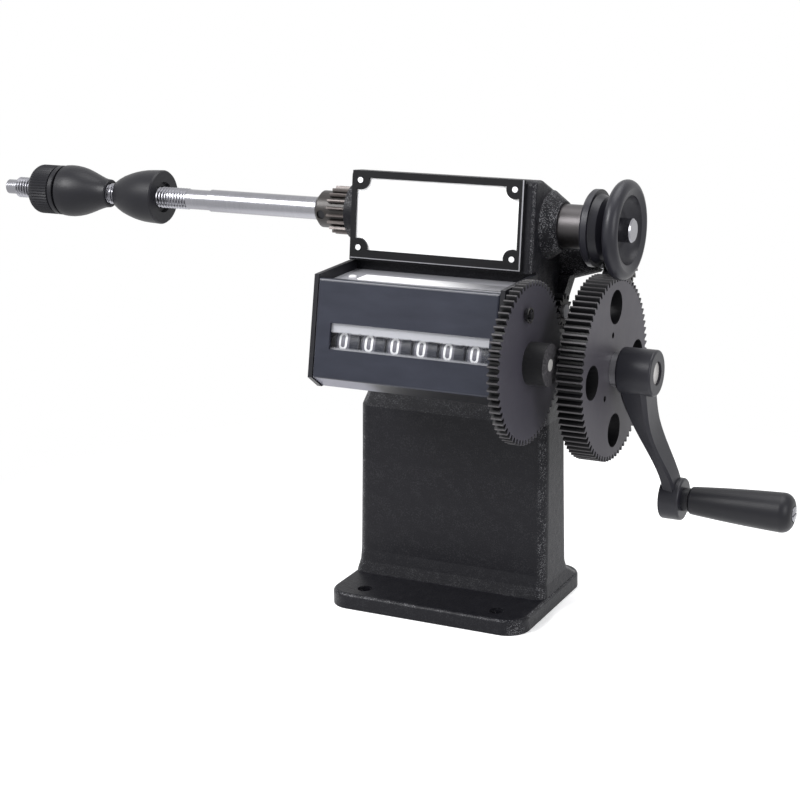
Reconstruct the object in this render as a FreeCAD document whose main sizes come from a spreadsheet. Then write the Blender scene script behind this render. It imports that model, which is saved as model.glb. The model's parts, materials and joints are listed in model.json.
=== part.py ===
"""Hand coil winding machine: cast stand, geared spindle, crank and turns counter.

Millimetres. +X runs along the spindle from its free end to the pulley, +Y away from the
operator, +Z up. The origin is the centre of the four base holes, on the underside.
"""
import FreeCAD, Part
import math
import os
import re
from FreeCAD import Placement, Rotation, Vector

DRIVING_SIZES = [
    # Base and column of the casting
    ("base_length", 94.0, "base plate along X"),
    ("base_depth", 74.0, "base plate along Y"),
    ("base_thick", 7.0, "base plate thickness"),
    ("base_corner", 10.0, "base plate corner radius"),
    ("hole_spacing_x", 64.0, "base holes, distance along X"),
    ("hole_spacing_y", 56.0, "base holes, distance along Y"),
    ("base_hole", 6.5, "base hole diameter"),
    ("foot_height", 10.0, "height of the flared foot of the column"),
    ("foot_flare", 11.0, "how far the rear of the foot flares out"),
    ("column_left", -46.0, "left face of the column at its foot"),
    ("column_right", 45.5, "right face of the column at its foot"),
    ("column_front", -7.5, "front face of the column at its foot"),
    ("column_back", 20.5, "rear face of the column at its foot"),
    ("column_draft", 1.6, "how far each face leans in over the column"),
    ("column_round", 5.0, "corner radius of the column"),
    ("foot_spread", 1.0, "how far the sides of the foot flare out"),
    ("column_top", 78.0, "height where the column's shoulder starts"),
    ("shoulder", 12.0, "height of the shoulder under the gear housing"),
    # Gear housing at the top of the casting
    ("head_left", -37.0, "left face of the gear housing"),
    ("head_right", 47.0, "right face of the gear housing"),
    ("head_back", 16.5, "housing rear face behind the spindle axis"),
    ("head_top", 21.0, "housing top above the spindle axis"),
    ("head_top_back", 8.5, "housing top at its rear face, above the axis"),
    ("head_flat", 7.0, "front end of the sloping top, ahead of the axis"),
    ("face_top", 16.4, "upper edge of the label face ahead of the axis"),
    ("face_height", 38.0, "height of the label face"),
    ("face_tilt", 8.0, "lean of the label face, degrees"),
    ("chest_front", 17.0, "housing front behind the counter, ahead of the axis"),
    ("chest_drop", 52.0, "lower end of that front, below the axis"),
    ("waist_front", 9.0, "front of the waist ahead of the axis"),
    ("waist_top", 64.0, "top of the waist below the axis"),
    ("wall", 4.0, "cast wall"),
    ("chest_wall", 3.5, "wall behind the counter"),
    ("end_wall", 8.0, "cast end wall with the bearings"),
    ("cavity_drop", 49.0, "floor of the gear space below the axis"),
    ("head_slope", 1.3, "drop of the top behind the label's upper edge"),
    ("cast_edge", 2.5, "rounding of the housing's long edges"),
    ("end_edge", 2.0, "rounding of the housing's right end"),
    ("boss_left", 7.5, "length of the left spindle boss"),
    ("boss_radius", 12.4, "radius of the left spindle boss"),
    ("boss_cone", 14.4, "radius of the right boss at the housing"),
    ("boss_end", 10.2, "radius of the right boss at its end"),
    ("boss_right", 6.0, "length of the right spindle boss"),
    # Spindle line
    ("spindle_y", -3.0, "spindle axis along Y"),
    ("spindle_z", 172.0, "spindle axis above the underside"),
    ("spindle_dia", 10.0, "spindle diameter"),
    ("spindle_past", 0.7, "spindle past the pulley's right face"),
    ("spindle_tip", -234.0, "left end of the spindle"),
    ("tip_dia", 6.8, "plain tip diameter"),
    ("tip_length", 4.7, "plain tip length"),
    ("thread_dia", 9.6, "outer diameter of the threaded stretch"),
    ("thread_length", 101.5, "spindle's left end to the right end of the thread"),
    ("relief_dia", 9.0, "diameter of the relief behind the thread"),
    ("relief_length", 11.8, "length of the relief behind the thread"),
    ("collar_dia", 18.2, "outer diameter of the right spindle bush"),
    ("bush_wall", 3.0, "wall of a plain bush"),
    # Winding cones and knurled nut
    ("nut_start", 12.4, "spindle's left end to the knurled nut"),
    ("nut_length", 11.7, "length of the knurled nut"),
    ("nut_dia", 23.5, "diameter of the knurled nut"),
    ("nut_ribs", 40, "ribs of the knurl"),
    ("knurl_depth", 0.5, "depth of the knurl"),
    ("nut_neck", 2.6, "length of the neck that presses on the cone"),
    ("neck_dia", 16.0, "neck diameter"),
    ("cone_length", 30.6, "length of the outer cone"),
    ("cone_dia", 24.6, "largest diameter of a cone"),
    ("cone_tip_dia", 14.4, "smallest diameter of a cone"),
    ("cone_gap", 4.0, "rest gap between the two cones"),
    ("inner_cone_length", 27.6, "length of the inner cone"),
    ("cone_recess", 1.6, "depth of the recess in a cone's big end"),
    # Gears
    ("gear_module", 1.0, "module of every gear"),
    ("pressure_angle", 20.0, "pressure angle, degrees"),
    ("backlash", 0.16, "how much each tooth is thinned"),
    ("crank_drop", 59.0, "crank axis below the spindle axis"),
    ("crank_teeth", 76, "teeth of the crank gear"),
    ("idler_teeth", 16, "teeth of the idler pinion"),
    ("idler_gear_teeth", 32, "teeth of the idler gear"),
    ("spindle_teeth", 19, "teeth of the two spindle pinions"),
    ("transfer_teeth", 16, "teeth of the idler's transfer gear and the gear it drives"),
    ("drive_teeth", 19, "teeth of the gear on the counter pinion's shaft"),
    ("count_pinion_teeth", 13, "teeth of the counter pinion"),
    ("count_teeth", 65, "teeth of the counter gear"),
    ("crank_gear_gap", 2.2, "crank gear right of the reset knob"),
    ("crank_gear_width", 10.8, "face width of the crank gear"),
    ("crank_hole_radius", 26.4, "circle of the lightening holes"),
    ("crank_hole", 14.4, "diameter of the lightening holes"),
    ("crank_hole_turn", -1.5, "turn of the top lightening hole off upright, degrees"),
    ("slot_radius", 15.3, "circle of the small pin holes"),
    ("slot_hole", 2.6, "diameter of the small pin holes"),
    ("slot_turn", 100.0, "direction of the first small pin hole, degrees"),
    ("slot_count", 3, "small pin holes"),
    ("inner_gear_gap", 0.8, "gap between the idler gear and its transfer gear"),
    ("inner_gear_width", 7.0, "face width of the gears inside"),
    ("transfer_gap", 1.0, "gap between the transfer gears and the end wall"),
    ("transfer_width", 5.2, "face width of the transfer gears"),
    ("count_gear_gap", 1.5, "counter gear right of the counter's end"),
    ("count_gear_width", 4.5, "face width of the counter gear"),
    ("count_mesh_lead", 9.0, "its pinion below the line to the idler, degrees"),
    ("pinion_gap", 0.7, "outer pinion short of the left spindle boss"),
    ("pinion_hub", 8.0, "length of the hub"),
    ("pinion_hub_dia", 16.2, "hub diameter"),
    ("pinion_hub_bevel", 2.0, "bevel of the hub's free end"),
    ("pinion_screw_angle", 188.5, "direction of its set screw, degrees"),
    ("pinion_width", 8.9, "toothed width of the outer pinion"),
    ("idler_shaft", 8.0, "idler shaft diameter"),
    ("transfer_shaft", 6.0, "transfer shaft and pin diameter"),
    ("idler_boss", 10.0, "radius of the idler boss at the housing"),
    ("idler_boss_end", 5.4, "radius of the idler boss at its end"),
    ("idler_boss_gap", 3.2, "idler boss short of the idler pinion"),
    ("idler_pinion_lead", 0.4, "idler pinion right of the crank gear's left face"),
    ("rib_reach", 5.0, "how far the rib under the idler boss stands out"),
    ("rib_height", 16.0, "height of that rib"),
    ("rib_width", 8.0, "width of that rib"),
    ("rib_shift", 7.0, "middle of that rib ahead of the idler axis"),
    ("rib_drop", 6.0, "upper end of that rib below the idler axis"),
    ("low_boss_length", 2.0, "length of the flat bosses behind the counter gear"),
    # Pulley
    ("pulley_lead", 0.2, "pulley right of the crank gear's left face"),
    ("pulley_flange", 16.0, "radius of the rear flange"),
    ("pulley_flange_width", 3.2, "width of the rear flange"),
    ("pulley_step", 14.4, "radius of the hub behind the flange"),
    ("pulley_throat", 13.0, "radius of the hub where it drops into the groove"),
    ("pulley_step_width", 3.0, "width of that hub"),
    ("pulley_groove", 10.2, "radius of the groove floor"),
    ("pulley_screw_angle", 60.0, "direction of its set screw, degrees"),
    ("pulley_rim", 20.6, "radius of the front rim"),
    ("rim_width", 6.5, "width of the front rim"),
    ("dish_radius", 14.3, "radius of the dished front"),
    ("dish_lip", 1.0, "depth of the crease round the dish"),
    ("dish_depth", 6.0, "depth of the dished front"),
    # Crank
    ("crank_shaft", 10.0, "crank shaft diameter"),
    ("crank_shaft_left", -20.0, "left end of the crank shaft"),
    ("crank_bush_left_x", -18.0, "left end of the crank shaft's inner bush"),
    ("crank_boss", 11.0, "radius of the crank boss on the housing"),
    ("crank_spacer", 16.0, "diameter of the spacer behind the crank gear"),
    ("crank_washer", 3.2, "washer between gear and crank hub"),
    ("crank_hub", 19.6, "crank hub diameter"),
    ("crank_hub_length", 15.4, "crank hub length"),
    ("arm_throw", 63.6, "crank axis to grip axis"),
    ("arm_lean", 18.5, "lean of the arm towards the back, degrees"),
    ("arm_root_thick", 11.4, "arm thickness at the hub"),
    ("arm_thick", 5.4, "arm thickness towards the grip"),
    ("arm_inset", 3.8, "arm's outer face short of the hub's end"),
    ("arm_offset", 6.0, "how far the grip end stands further out"),
    ("arm_neck", 16.2, "arm width at the hub"),
    ("arm_tail", 11.6, "arm width at the grip"),
    ("grip_boss", 18.4, "diameter of the grip boss"),
    ("grip_boss_length", 9.2, "length of the grip boss"),
    ("crank_edge", 1.0, "rounding of the crank's hub and boss"),
    ("grip_pin", 6.0, "grip pin diameter"),
    ("grip_collar", 2.9, "collar between boss and grip"),
    ("grip_length", 44.6, "grip length"),
    ("grip_small", 12.0, "grip diameter at the arm"),
    ("grip_large", 17.0, "largest grip diameter"),
    ("grip_round", 4.6, "rounding of the grip's outer end"),
    ("grip_shoulder", 0.8, "rounding of the grip at the arm"),
    ("grip_screw", 6.4, "head diameter of the grip screw"),
    ("grip_screw_seat", 1.2, "depth of the screw head's seat"),
    ("grip_screw_proud", 0.6, "screw head past the grip's end"),
    # Turns counter
    ("count_front", 39.0, "counter axis ahead of the spindle axis"),
    ("count_drop", 49.0, "counter axis below the spindle axis"),
    ("count_left", -38.0, "left face of the counter"),
    ("count_past", 1.0, "counter's right face past the housing"),
    ("count_tilt", 12.0, "lean of the counter's front, degrees"),
    ("panel_distance", 17.5, "counter axis to the outside of the panel"),
    ("panel_above", 27.3, "panel above the axis, along the panel"),
    ("panel_below", 14.3, "panel below the axis, along the panel"),
    ("sheet_thick", 1.5, "cover and chassis sheet"),
    ("end_plate", 2.0, "counter end plates"),
    ("chassis_top", 21.5, "top of the chassis below the spindle axis"),
    ("end_top", 17.3, "top of the counter's end plates below the spindle axis"),
    ("chassis_low", 65.2, "underside of the chassis below the spindle axis"),
    ("panel_step", 8.0, "chassis underside starts behind the panel's lower edge"),
    ("lip", 3.0, "folded upper lip of the panel"),
    ("window_side", 0.4, "window beyond the number wheels at each end"),
    ("window_height", 11.0, "window height"),
    ("window_raise", 3.7, "window centre above the axis normal"),
    ("wheel_count", 6, "number wheels"),
    ("wheel_room_left", 7.3, "left end plate to the first number wheel"),
    ("wheel_room_right", 3.55, "last number wheel to the right end plate"),
    ("wheel_gap", 0.55, "gap between number wheels"),
    ("wheel_radius", 13.4, "radius of a number wheel"),
    ("wheel_web", 3.0, "width of a wheel's web"),
    ("wheel_hub", 4.6, "radius of a wheel's hub"),
    ("count_shaft", 5.0, "counter shaft diameter"),
    ("count_shaft_past", 3.6, "counter shaft past the left end plate"),
    ("knob_dia", 17.6, "reset knob diameter"),
    ("knob_length", 8.6, "reset knob length"),
    ("rod_dia", 3.0, "rod of the carry pinions"),
    ("carry_radius", 3.9, "radius of a carry pinion"),
    ("carry_teeth", 8, "teeth of a carry pinion"),
    ("carry_width", 5.0, "width of a carry pinion"),
    ("carry_angle", 50.0, "direction of their rod from the counter shaft, degrees"),
    ("pane_thick", 1.0, "clear strip behind the window"),
    ("peg_radius", 21.5, "the peg on the counter gear, from its axis"),
    ("peg_angle", 103.0, "direction of the peg, degrees"),
    ("peg_dia", 3.0, "peg diameter"),
    ("peg_length", 3.0, "how far the peg stands out of the gear"),
    # Label, covers and fasteners
    ("label_length", 78.4, "label frame along X"),
    ("label_start", 1.2, "label frame right of the housing's left face"),
    ("label_height", 37.0, "label frame height"),
    ("label_thick", 1.2, "label frame thickness"),
    ("label_sheet", 0.6, "label plate thickness"),
    ("label_border", 1.9, "frame border at the ends"),
    ("label_top", 3.0, "frame border along the top"),
    ("label_foot", 3.7, "frame border along the bottom"),
    ("label_ear", 4.0, "corner ear radius"),
    ("label_inset", 3.8, "rivet centre from the frame's ends"),
    ("label_inset_top", 4.0, "rivet centre from the frame's upper edge"),
    ("label_inset_foot", 4.6, "rivet centre from the frame's lower edge"),
    ("rivet_dia", 2.4, "rivet diameter"),
    ("cover_thick", 3.0, "rear gear cover thickness"),
    ("cover_bulge_gap", 1.5, "gap between the idler gear and the cover's bulge"),
    ("cover_bulge_end", 0.5, "cover's bulge short of the end wall"),
    ("screw_dia", 4.0, "screw shank diameter"),
    ("screw_head", 7.0, "screw head diameter"),
    ("screw_head_height", 2.4, "screw head height"),
    ("count_screw_inset", 20.0, "the counter's screws from its ends"),
    ("count_screw_rise", 4.0, "the counter's screws above its axis"),
    ("cover_screw_reach", 7.0, "reach of the cover's screws in the casting"),
    ("set_screw", 4.0, "set screw diameter"),
    # Clearances
    ("run_gap", 0.05, "radial gap of a shaft in its bush"),
    ("seat_gap", 0.02, "radial gap of a piece fixed on a shaft"),
    ("side_gap", 0.3, "end gap between pieces that turn"),
    ("tip_gap", 1.0, "gap between a gear's teeth and a wall"),
]

# Sizes that follow from the driving ones, each from those above it
WORKED_OUT_SIZES = [
    ("count_right", "head_right + count_past", "right face of the counter"),
    ("wheel_pitch", "(count_right - count_left - 2 * end_plate - wheel_room_left"
     " - wheel_room_right + wheel_gap) / wheel_count", "distance between number wheels"),
    ("wheel_width", "wheel_pitch - wheel_gap", "width of a number wheel"),
    ("wheel_first", "count_left + end_plate + wheel_room_left + wheel_width / 2",
     "centre of the leftmost number wheel"),
    ("window_left", "count_left + end_plate + wheel_room_left - window_side",
     "left end of the window"),
    ("window_width", "wheel_pitch * wheel_count - wheel_gap + 2 * window_side",
     "width of the window"),
    ("count_shaft_left", "count_left - count_shaft_past", "left end of the counter shaft"),
    ("count_gear_left", "count_right + count_gear_gap", "left face of the counter gear"),
    ("count_gear_right", "count_gear_left + count_gear_width", "its right face"),
    ("knob_end", "count_gear_right + knob_length", "right end of the reset knob"),
    ("crank_gear_left", "knob_end + crank_gear_gap", "left face of the crank gear"),
    ("crank_gear_right", "crank_gear_left + crank_gear_width", "its right face"),
    ("idler_boss_length", "crank_gear_left + idler_pinion_lead - idler_boss_gap - head_right",
     "length of the idler boss"),
    ("pulley_left", "crank_gear_left + pulley_lead", "left face of the pulley"),
    ("rim_left", "crank_gear_right + side_gap", "left side of the pulley's front rim"),
    ("pulley_right", "rim_left + rim_width", "right face of the pulley"),
    ("spindle_end", "pulley_right + spindle_past", "right end of the spindle"),
    ("collar_length", "pulley_left - head_right - boss_right",
     "length of the right spindle bush outside the boss"),
    ("transfer_left", "head_right - end_wall - transfer_gap - transfer_width",
     "left face of the transfer gears"),
    ("inner_gear_left", "transfer_left - inner_gear_gap - inner_gear_width",
     "left face of the idler gear"),
    ("cover_bulge_left", "inner_gear_left - cover_bulge_gap - cover_thick",
     "left side of the cover's bulge"),
    ("cover_bulge_right", "head_right - end_wall - cover_bulge_end",
     "right side of the cover's bulge"),
    ("pinion_hub_left", "head_left - boss_left - pinion_gap - pinion_width - pinion_hub",
     "left face of the outer pinion's hub"),
    ("nut_left", "spindle_tip + nut_start", "left face of the knurled nut"),
    ("thread_end", "spindle_tip + thread_length", "right end of the thread"),
    ("relief_end", "thread_end + relief_length", "right end of the relief"),
    ("label_left", "head_left + label_start", "left edge of the label frame"),
    ("crank_hub_right", "crank_gear_right + crank_washer + crank_hub_length",
     "right end of the crank's hub"),
]

doc = FreeCAD.newDocument("coil_winder")
sheet = doc.addObject("Spreadsheet::Sheet", "sizes")
for row, (alias, number, note) in enumerate(DRIVING_SIZES, start=1):
    sheet.set("A%d" % row, note)
    sheet.set("B%d" % row, str(number))
    sheet.setAlias("B%d" % row, alias)
doc.recompute()

OWNERS = {alias: "sizes" for alias, number, note in DRIVING_SIZES}
OWNERS.update({alias: "places" for alias, rule, note in WORKED_OUT_SIZES})
places = doc.addObject("App::VarSet", "places")
AXIS_X = Vector(1, 0, 0)
ALONG_X = Rotation(Vector(0, 1, 0), 90)
nodes = []


def size(alias):
    """A size, read from the sheet or worked out from it."""
    if OWNERS[alias] == "sizes":
        return float(sheet.get(alias))
    return float(getattr(places, alias))


def bound(expression):
    """The expression with every alias turned into a reference to where it is kept."""
    return re.sub(r"[a-z_]+", lambda word: OWNERS[word.group(0)] + "." + word.group(0)
                  if word.group(0) in OWNERS else word.group(0), expression)


def bind(obj, **expressions):
    """Bind properties of a document object to expressions on the sheet."""
    for name, expression in expressions.items():
        obj.setExpression(name.replace("__", "."), bound(expression))
    return obj


for alias, rule, note in WORKED_OUT_SIZES:
    places.addProperty("App::PropertyFloat", alias, "Places", note)
    bind(places, **{alias: rule})
doc.recompute()


def on_axis(obj, x, axis):
    """Lay an object along X on an axis (y, z), its start bound to the sheet."""
    obj.Placement = Placement(Vector(0, *axis), ALONG_X)
    return bind(obj, Placement__Base__x=x)


def rod(name, radius, length, x, axis):
    """A Part::Cylinder along X whose sizes are bound to the sheet."""
    return on_axis(bind(doc.addObject("Part::Cylinder", name), Radius=radius, Height=length),
                   x, axis)


def taper(name, radius_1, radius_2, length, x, axis):
    """A Part::Cone along X whose sizes are bound to the sheet."""
    return on_axis(bind(doc.addObject("Part::Cone", name), Radius1=radius_1,
                        Radius2=radius_2, Height=length), x, axis)


def ring(name, outer, inner, length, x, axis):
    """A rod with a bore through it, both bound to the sheet."""
    return cut(name, rod(name + "Body", outer, length, x, axis),
               rod(name + "Bore", inner, "%s + 2" % length, "%s - 1" % x, axis))


def fused(name, parts):
    """A Part::MultiFuse of document objects."""
    obj = doc.addObject("Part::MultiFuse", name)
    obj.Shapes = parts
    return obj


def cut(name, base, tool):
    """A Part::Cut of two document objects."""
    obj = doc.addObject("Part::Cut", name)
    obj.Base = base
    obj.Tool = tool
    return obj


def shaped(name, shape):
    """A Part::Feature that holds a shape made by Part's own functions."""
    obj = doc.addObject("Part::Feature", name)
    obj.Shape = shape
    return obj


def node(label, obj):
    """Give a finished sub-part its own label, which names its file."""
    obj.Label = label
    nodes.append(obj)
    return obj


def bar(x_1, x_2, radius, axis):
    """A solid cylinder along X between two stations on an axis (y, z)."""
    return Part.makeCylinder(radius, x_2 - x_1, Vector(x_1, axis[0], axis[1]), AXIS_X)


def tube(x_1, x_2, outer, inner, axis):
    """A ring along X on an axis (y, z)."""
    return bar(x_1, x_2, outer, axis).cut(bar(x_1 - 1, x_2 + 1, inner, axis))


def turned(edges, axis):
    """Revolve a closed outline in (x, radius) about an axis parallel to X."""
    face = Part.Face(Part.Wire(edges))
    solid = face.revolve(Vector(), AXIS_X, 360)
    solid.translate(Vector(0, axis[0], axis[1]))
    return solid


def line(start, end):
    """A straight edge in (x, radius)."""
    return Part.LineSegment(Vector(start[0], start[1], 0), Vector(end[0], end[1], 0)).toShape()


def arc(start, middle, end):
    """An arc through three points in (x, radius)."""
    return Part.Arc(*[Vector(p[0], p[1], 0) for p in (start, middle, end)]).toShape()


def outline(points):
    """Straight edges through a closed list of (x, radius) points."""
    return [line(a, b) for a, b in zip(points, points[1:] + points[:1])]


def slab(points, x_1, x_2):
    """A prism along X with a polygon outline in (y, z)."""
    corners = [Vector(x_1, y, z) for y, z in points]
    face = Part.Face(Part.makePolygon(corners + corners[:1]))
    return face.extrude(Vector(x_2 - x_1, 0, 0))


def rounded(shape, radius, chosen):
    """Fillet the edges that a test on the edge picks."""
    return shape.makeFillet(radius, [edge for edge in shape.Edges if chosen(edge)])


def along(edge, direction):
    """Whether a straight edge runs along a direction."""
    if not isinstance(edge.Curve, (Part.Line, Part.LineSegment)):
        return False
    run = edge.Vertexes[1].Point - edge.Vertexes[0].Point
    return abs(run.normalize().dot(direction)) > 0.999


def polar(centre, distance, degrees):
    """The point (y, z) at a distance and angle from a centre."""
    angle = math.radians(degrees)
    return (centre[0] + distance * math.cos(angle), centre[1] + distance * math.sin(angle))


def third_corner(first, second, from_first, from_second, side):
    """The point (y, z) at two given distances from two axes, on one side of their line."""
    run = (second[0] - first[0], second[1] - first[1])
    gap = math.hypot(*run)
    forward = (from_first ** 2 - from_second ** 2 + gap ** 2) / (2 * gap)
    sideways = side * math.sqrt(from_first ** 2 - forward ** 2)
    unit = (run[0] / gap, run[1] / gap)
    return (first[0] + unit[0] * forward - unit[1] * sideways,
            first[1] + unit[1] * forward + unit[0] * sideways)


def mesh_distance(teeth_1, teeth_2):
    """Centre distance of two gears that mesh."""
    return size("gear_module") * (size(teeth_1) + size(teeth_2)) / 2


def tip_radius(teeth):
    """Radius over the teeth of a gear."""
    return size("gear_module") * (size(teeth) / 2 + 1)


def direction(start, end):
    """The angle in degrees from one axis to another."""
    return math.degrees(math.atan2(end[1] - start[1], end[0] - start[0]))


# Axes, as (y, z)
SPINDLE = (size("spindle_y"), size("spindle_z"))
CRANK = (SPINDLE[0], SPINDLE[1] - size("crank_drop"))
COUNT = (SPINDLE[0] - size("count_front"), SPINDLE[1] - size("count_drop"))
IDLER = third_corner(SPINDLE, CRANK, mesh_distance("spindle_teeth", "idler_gear_teeth"),
                     mesh_distance("idler_teeth", "crank_teeth"), 1)
COUNT_PINION = polar(COUNT, mesh_distance("count_pinion_teeth", "count_teeth"),
                     direction(COUNT, IDLER) - size("count_mesh_lead"))
TRANSFER = third_corner(IDLER, COUNT_PINION, mesh_distance("transfer_teeth", "transfer_teeth"),
                        mesh_distance("transfer_teeth", "drive_teeth"), -1)
GRIP = polar(CRANK, size("arm_throw"), size("arm_lean") - 90)


def gear(teeth_alias, x_left, width, axis, tooth_at, bore):
    """A spur gear with involute flanks, one tooth centred on the angle tooth_at."""
    module = size("gear_module")
    teeth = int(size(teeth_alias))
    pitch = module * teeth / 2
    base = pitch * math.cos(math.radians(size("pressure_angle")))
    outer = pitch + module
    root = pitch - 1.25 * module
    involute = math.tan(math.radians(size("pressure_angle"))) \
        - math.radians(size("pressure_angle"))
    half_tooth = (math.pi * module / 2 - size("backlash")) / 2 / pitch

    def half_angle(radius):
        """Half the angle that a tooth spans at a radius."""
        if radius <= base:
            return half_tooth + involute
        slope = math.acos(base / radius)
        return half_tooth + involute - (math.tan(slope) - slope)

    levels = [root, pitch, outer]
    corners = []
    for number in range(teeth):
        centre = math.radians(tooth_at) + 2 * math.pi * number / teeth
        flank = [(radius, half_angle(radius)) for radius in levels]
        for radius, half in flank + [(radius, -half) for radius, half in reversed(flank)]:
            corners.append((axis[0] + radius * math.cos(centre - half),
                            axis[1] + radius * math.sin(centre - half)))
    return slab(corners, x_left, x_left + width).cut(
        bar(x_left - 1, x_left + width + 1, bore, axis))


def gear_pair(first, second):
    """Both gears of a mesh, each given as (teeth, x_left, width, axis, bore)."""
    heading = direction(first[3], second[3])
    gap_angle = 180.0 / size(second[0])
    return (gear(first[0], first[1], first[2], first[3], heading, first[4]),
            gear(second[0], second[1], second[2], second[3], heading + 180 + gap_angle,
                 second[4]))


# The casting: base, column, gear housing and bosses in one piece
SHOULDER_Z = size("base_thick") + size("column_top") + size("shoulder")
BACK_Y = SPINDLE[0] + size("head_back")
CHEST_Y = SPINDLE[0] - size("chest_front")
FACE_TOP = (SPINDLE[0] - size("face_top"), SPINDLE[1] + size("head_top"))
FACE_FOOT = polar(FACE_TOP, size("face_height"), 270 - size("face_tilt"))
INNER_LEFT = size("head_left") + size("end_wall")
INNER_RIGHT = size("head_right") - size("end_wall")
SCREW_REACH = size("cover_screw_reach")
SCREW_X = ((size("head_left") + INNER_LEFT) / 2, (size("head_right") + INNER_RIGHT) / 2)
COUNT_SCREW_X = (size("count_left") + size("count_screw_inset"),
                 size("count_right") - size("count_screw_inset"))
COUNT_SCREW_Z = COUNT[1] + size("count_screw_rise")
COVER_LOW = SPINDLE[1] - size("cavity_drop") - size("wall")
COVER_HIGH = SPINDLE[1] + size("head_top_back") - size("cast_edge") / 2
COVER_SCREW_Z = (COVER_LOW + size("screw_head") / 2 + 1, COVER_HIGH - size("screw_head") / 2 - 1)


def level_ring(left, right, front, back, height, radius):
    """A level rectangle with round corners, as a wire."""
    corners = [(left, front, 180), (right, front, 270), (right, back, 0), (left, back, 90)]
    edges = []
    last = None
    for x, y, start in corners:
        centre = (x + (radius if x == left else -radius), y + (radius if y == front else -radius))
        points = [Vector(*polar(centre, radius, start + turn), height) for turn in (0, 45, 90)]
        if last is not None:
            edges.append(Part.LineSegment(last, points[0]).toShape())
        edges.append(Part.Arc(*points).toShape())
        last = points[2]
    edges.append(Part.LineSegment(last, edges[0].firstVertex().Point).toShape())
    return Part.Wire(edges)


def foot_and_column():
    """The base plate with its holes, the flared foot, the column and its shoulder."""
    half_x = size("base_length") / 2
    half_y = size("base_depth") / 2
    thick = size("base_thick")
    plate = Part.Face(level_ring(-half_x, half_x, -half_y, half_y, 0, size("base_corner")))
    plate = plate.extrude(Vector(0, 0, thick))
    plate = rounded(plate, thick / 4, lambda edge: edge.BoundBox.ZMin > thick - 0.01)
    left, right = size("column_left"), size("column_right")
    front, back = size("column_front"), size("column_back")
    lean, corner = size("column_draft"), size("column_round")
    column_foot = thick + size("foot_height")
    column_top = thick + size("column_top")
    flare = size("foot_flare")
    spread = size("foot_spread")
    rings = [
        level_ring(left - spread, right + spread, front - flare / 4, back + flare, thick,
                   corner),
        level_ring(left, right, front - flare / 10, back + flare / 4,
                   (thick + column_foot) / 2, corner),
        level_ring(left, right, front, back, column_foot, corner),
        level_ring(left + lean, right, front + lean, back - lean, column_top, corner),
        level_ring(size("head_left"), size("head_right"),
                   SPINDLE[0] - size("waist_front") + lean, BACK_Y, SHOULDER_Z, corner)]
    column = Part.makeLoft(rings, True, True)
    solid = plate.fuse(column)
    for x in (-1, 1):
        for y in (-1, 1):
            hole = Part.makeCylinder(size("base_hole") / 2, thick * 3, Vector(
                x * size("hole_spacing_x") / 2, y * size("hole_spacing_y") / 2, -thick))
            solid = solid.cut(hole)
    return solid


def housing():
    """The gear housing: a long box with a leaning front, a sloping top and an open back."""
    low = SHOULDER_Z
    right = size("head_right")
    profile = [FACE_FOOT, FACE_TOP,
               (SPINDLE[0] - size("head_flat"), FACE_TOP[1] - size("head_slope")),
               (BACK_Y, SPINDLE[1] + size("head_top_back")), (BACK_Y, low),
               (SPINDLE[0] - size("waist_front"), low),
               (SPINDLE[0] - size("waist_front"), SPINDLE[1] - size("waist_top")),
               (CHEST_Y, SPINDLE[1] - size("chest_drop")), (CHEST_Y, FACE_FOOT[1])]
    solid = slab(profile, size("head_left"), right)
    solid = rounded(solid, size("cast_edge"), lambda edge: along(edge, AXIS_X)
                    and edge.BoundBox.ZMin > FACE_FOOT[1] + 1)
    solid = rounded(solid, size("end_edge"), lambda edge: edge.BoundBox.XMin > right - 0.01
                    and edge.BoundBox.ZMax > FACE_FOOT[1] + 1)
    roof = size("wall") + size("head_slope")
    inside_front = CHEST_Y + size("chest_wall")
    inside = [(inside_front, SPINDLE[1] - size("cavity_drop")),
              (inside_front, FACE_TOP[1] - roof),
              (SPINDLE[0] - size("head_flat"), FACE_TOP[1] - roof),
              (BACK_Y + 1, SPINDLE[1] + size("head_top_back") - roof - 0.5),
              (BACK_Y + 1, SPINDLE[1] - size("cavity_drop"))]
    return solid, slab(inside, INNER_LEFT, INNER_RIGHT)


def idler_rib():
    """The rib that carries the idler boss from below, on the housing's right end."""
    right = size("head_right")
    top = IDLER[1] - size("rib_drop")
    back = IDLER[0] - size("rib_shift") + size("rib_width") / 2
    corners = [Vector(right - 1, back, top), Vector(right + size("rib_reach"), back, top),
               Vector(right, back, top - size("rib_height")),
               Vector(right - 1, back, top - size("rib_height"))]
    return Part.Face(Part.makePolygon(corners + corners[:1])).extrude(
        Vector(0, -size("rib_width"), 0))


def casting_body():
    """The stand without its round bosses and bores."""
    box, cavity = housing()
    return foot_and_column().fuse([box, idler_rib()]).removeSplitter().cut(cavity)


def casting_bosses():
    """The round bosses of the casting."""
    return [
        rod("BossLeft", "boss_radius", "boss_left + 1", "head_left - boss_left", SPINDLE),
        taper("BossRight", "boss_cone", "boss_end", "boss_right", "head_right", SPINDLE),
        taper("BossIdler", "idler_boss", "idler_boss_end", "idler_boss_length", "head_right",
              IDLER),
        rod("BossIdlerInner", "idler_boss", "end_wall", "head_right - end_wall", IDLER),
        rod("BossCrank", "crank_boss", "low_boss_length + 1", "head_right - 1", CRANK),
        rod("BossCounter", "transfer_shaft", "low_boss_length + 1", "head_right - 1",
            COUNT_PINION)]


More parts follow.
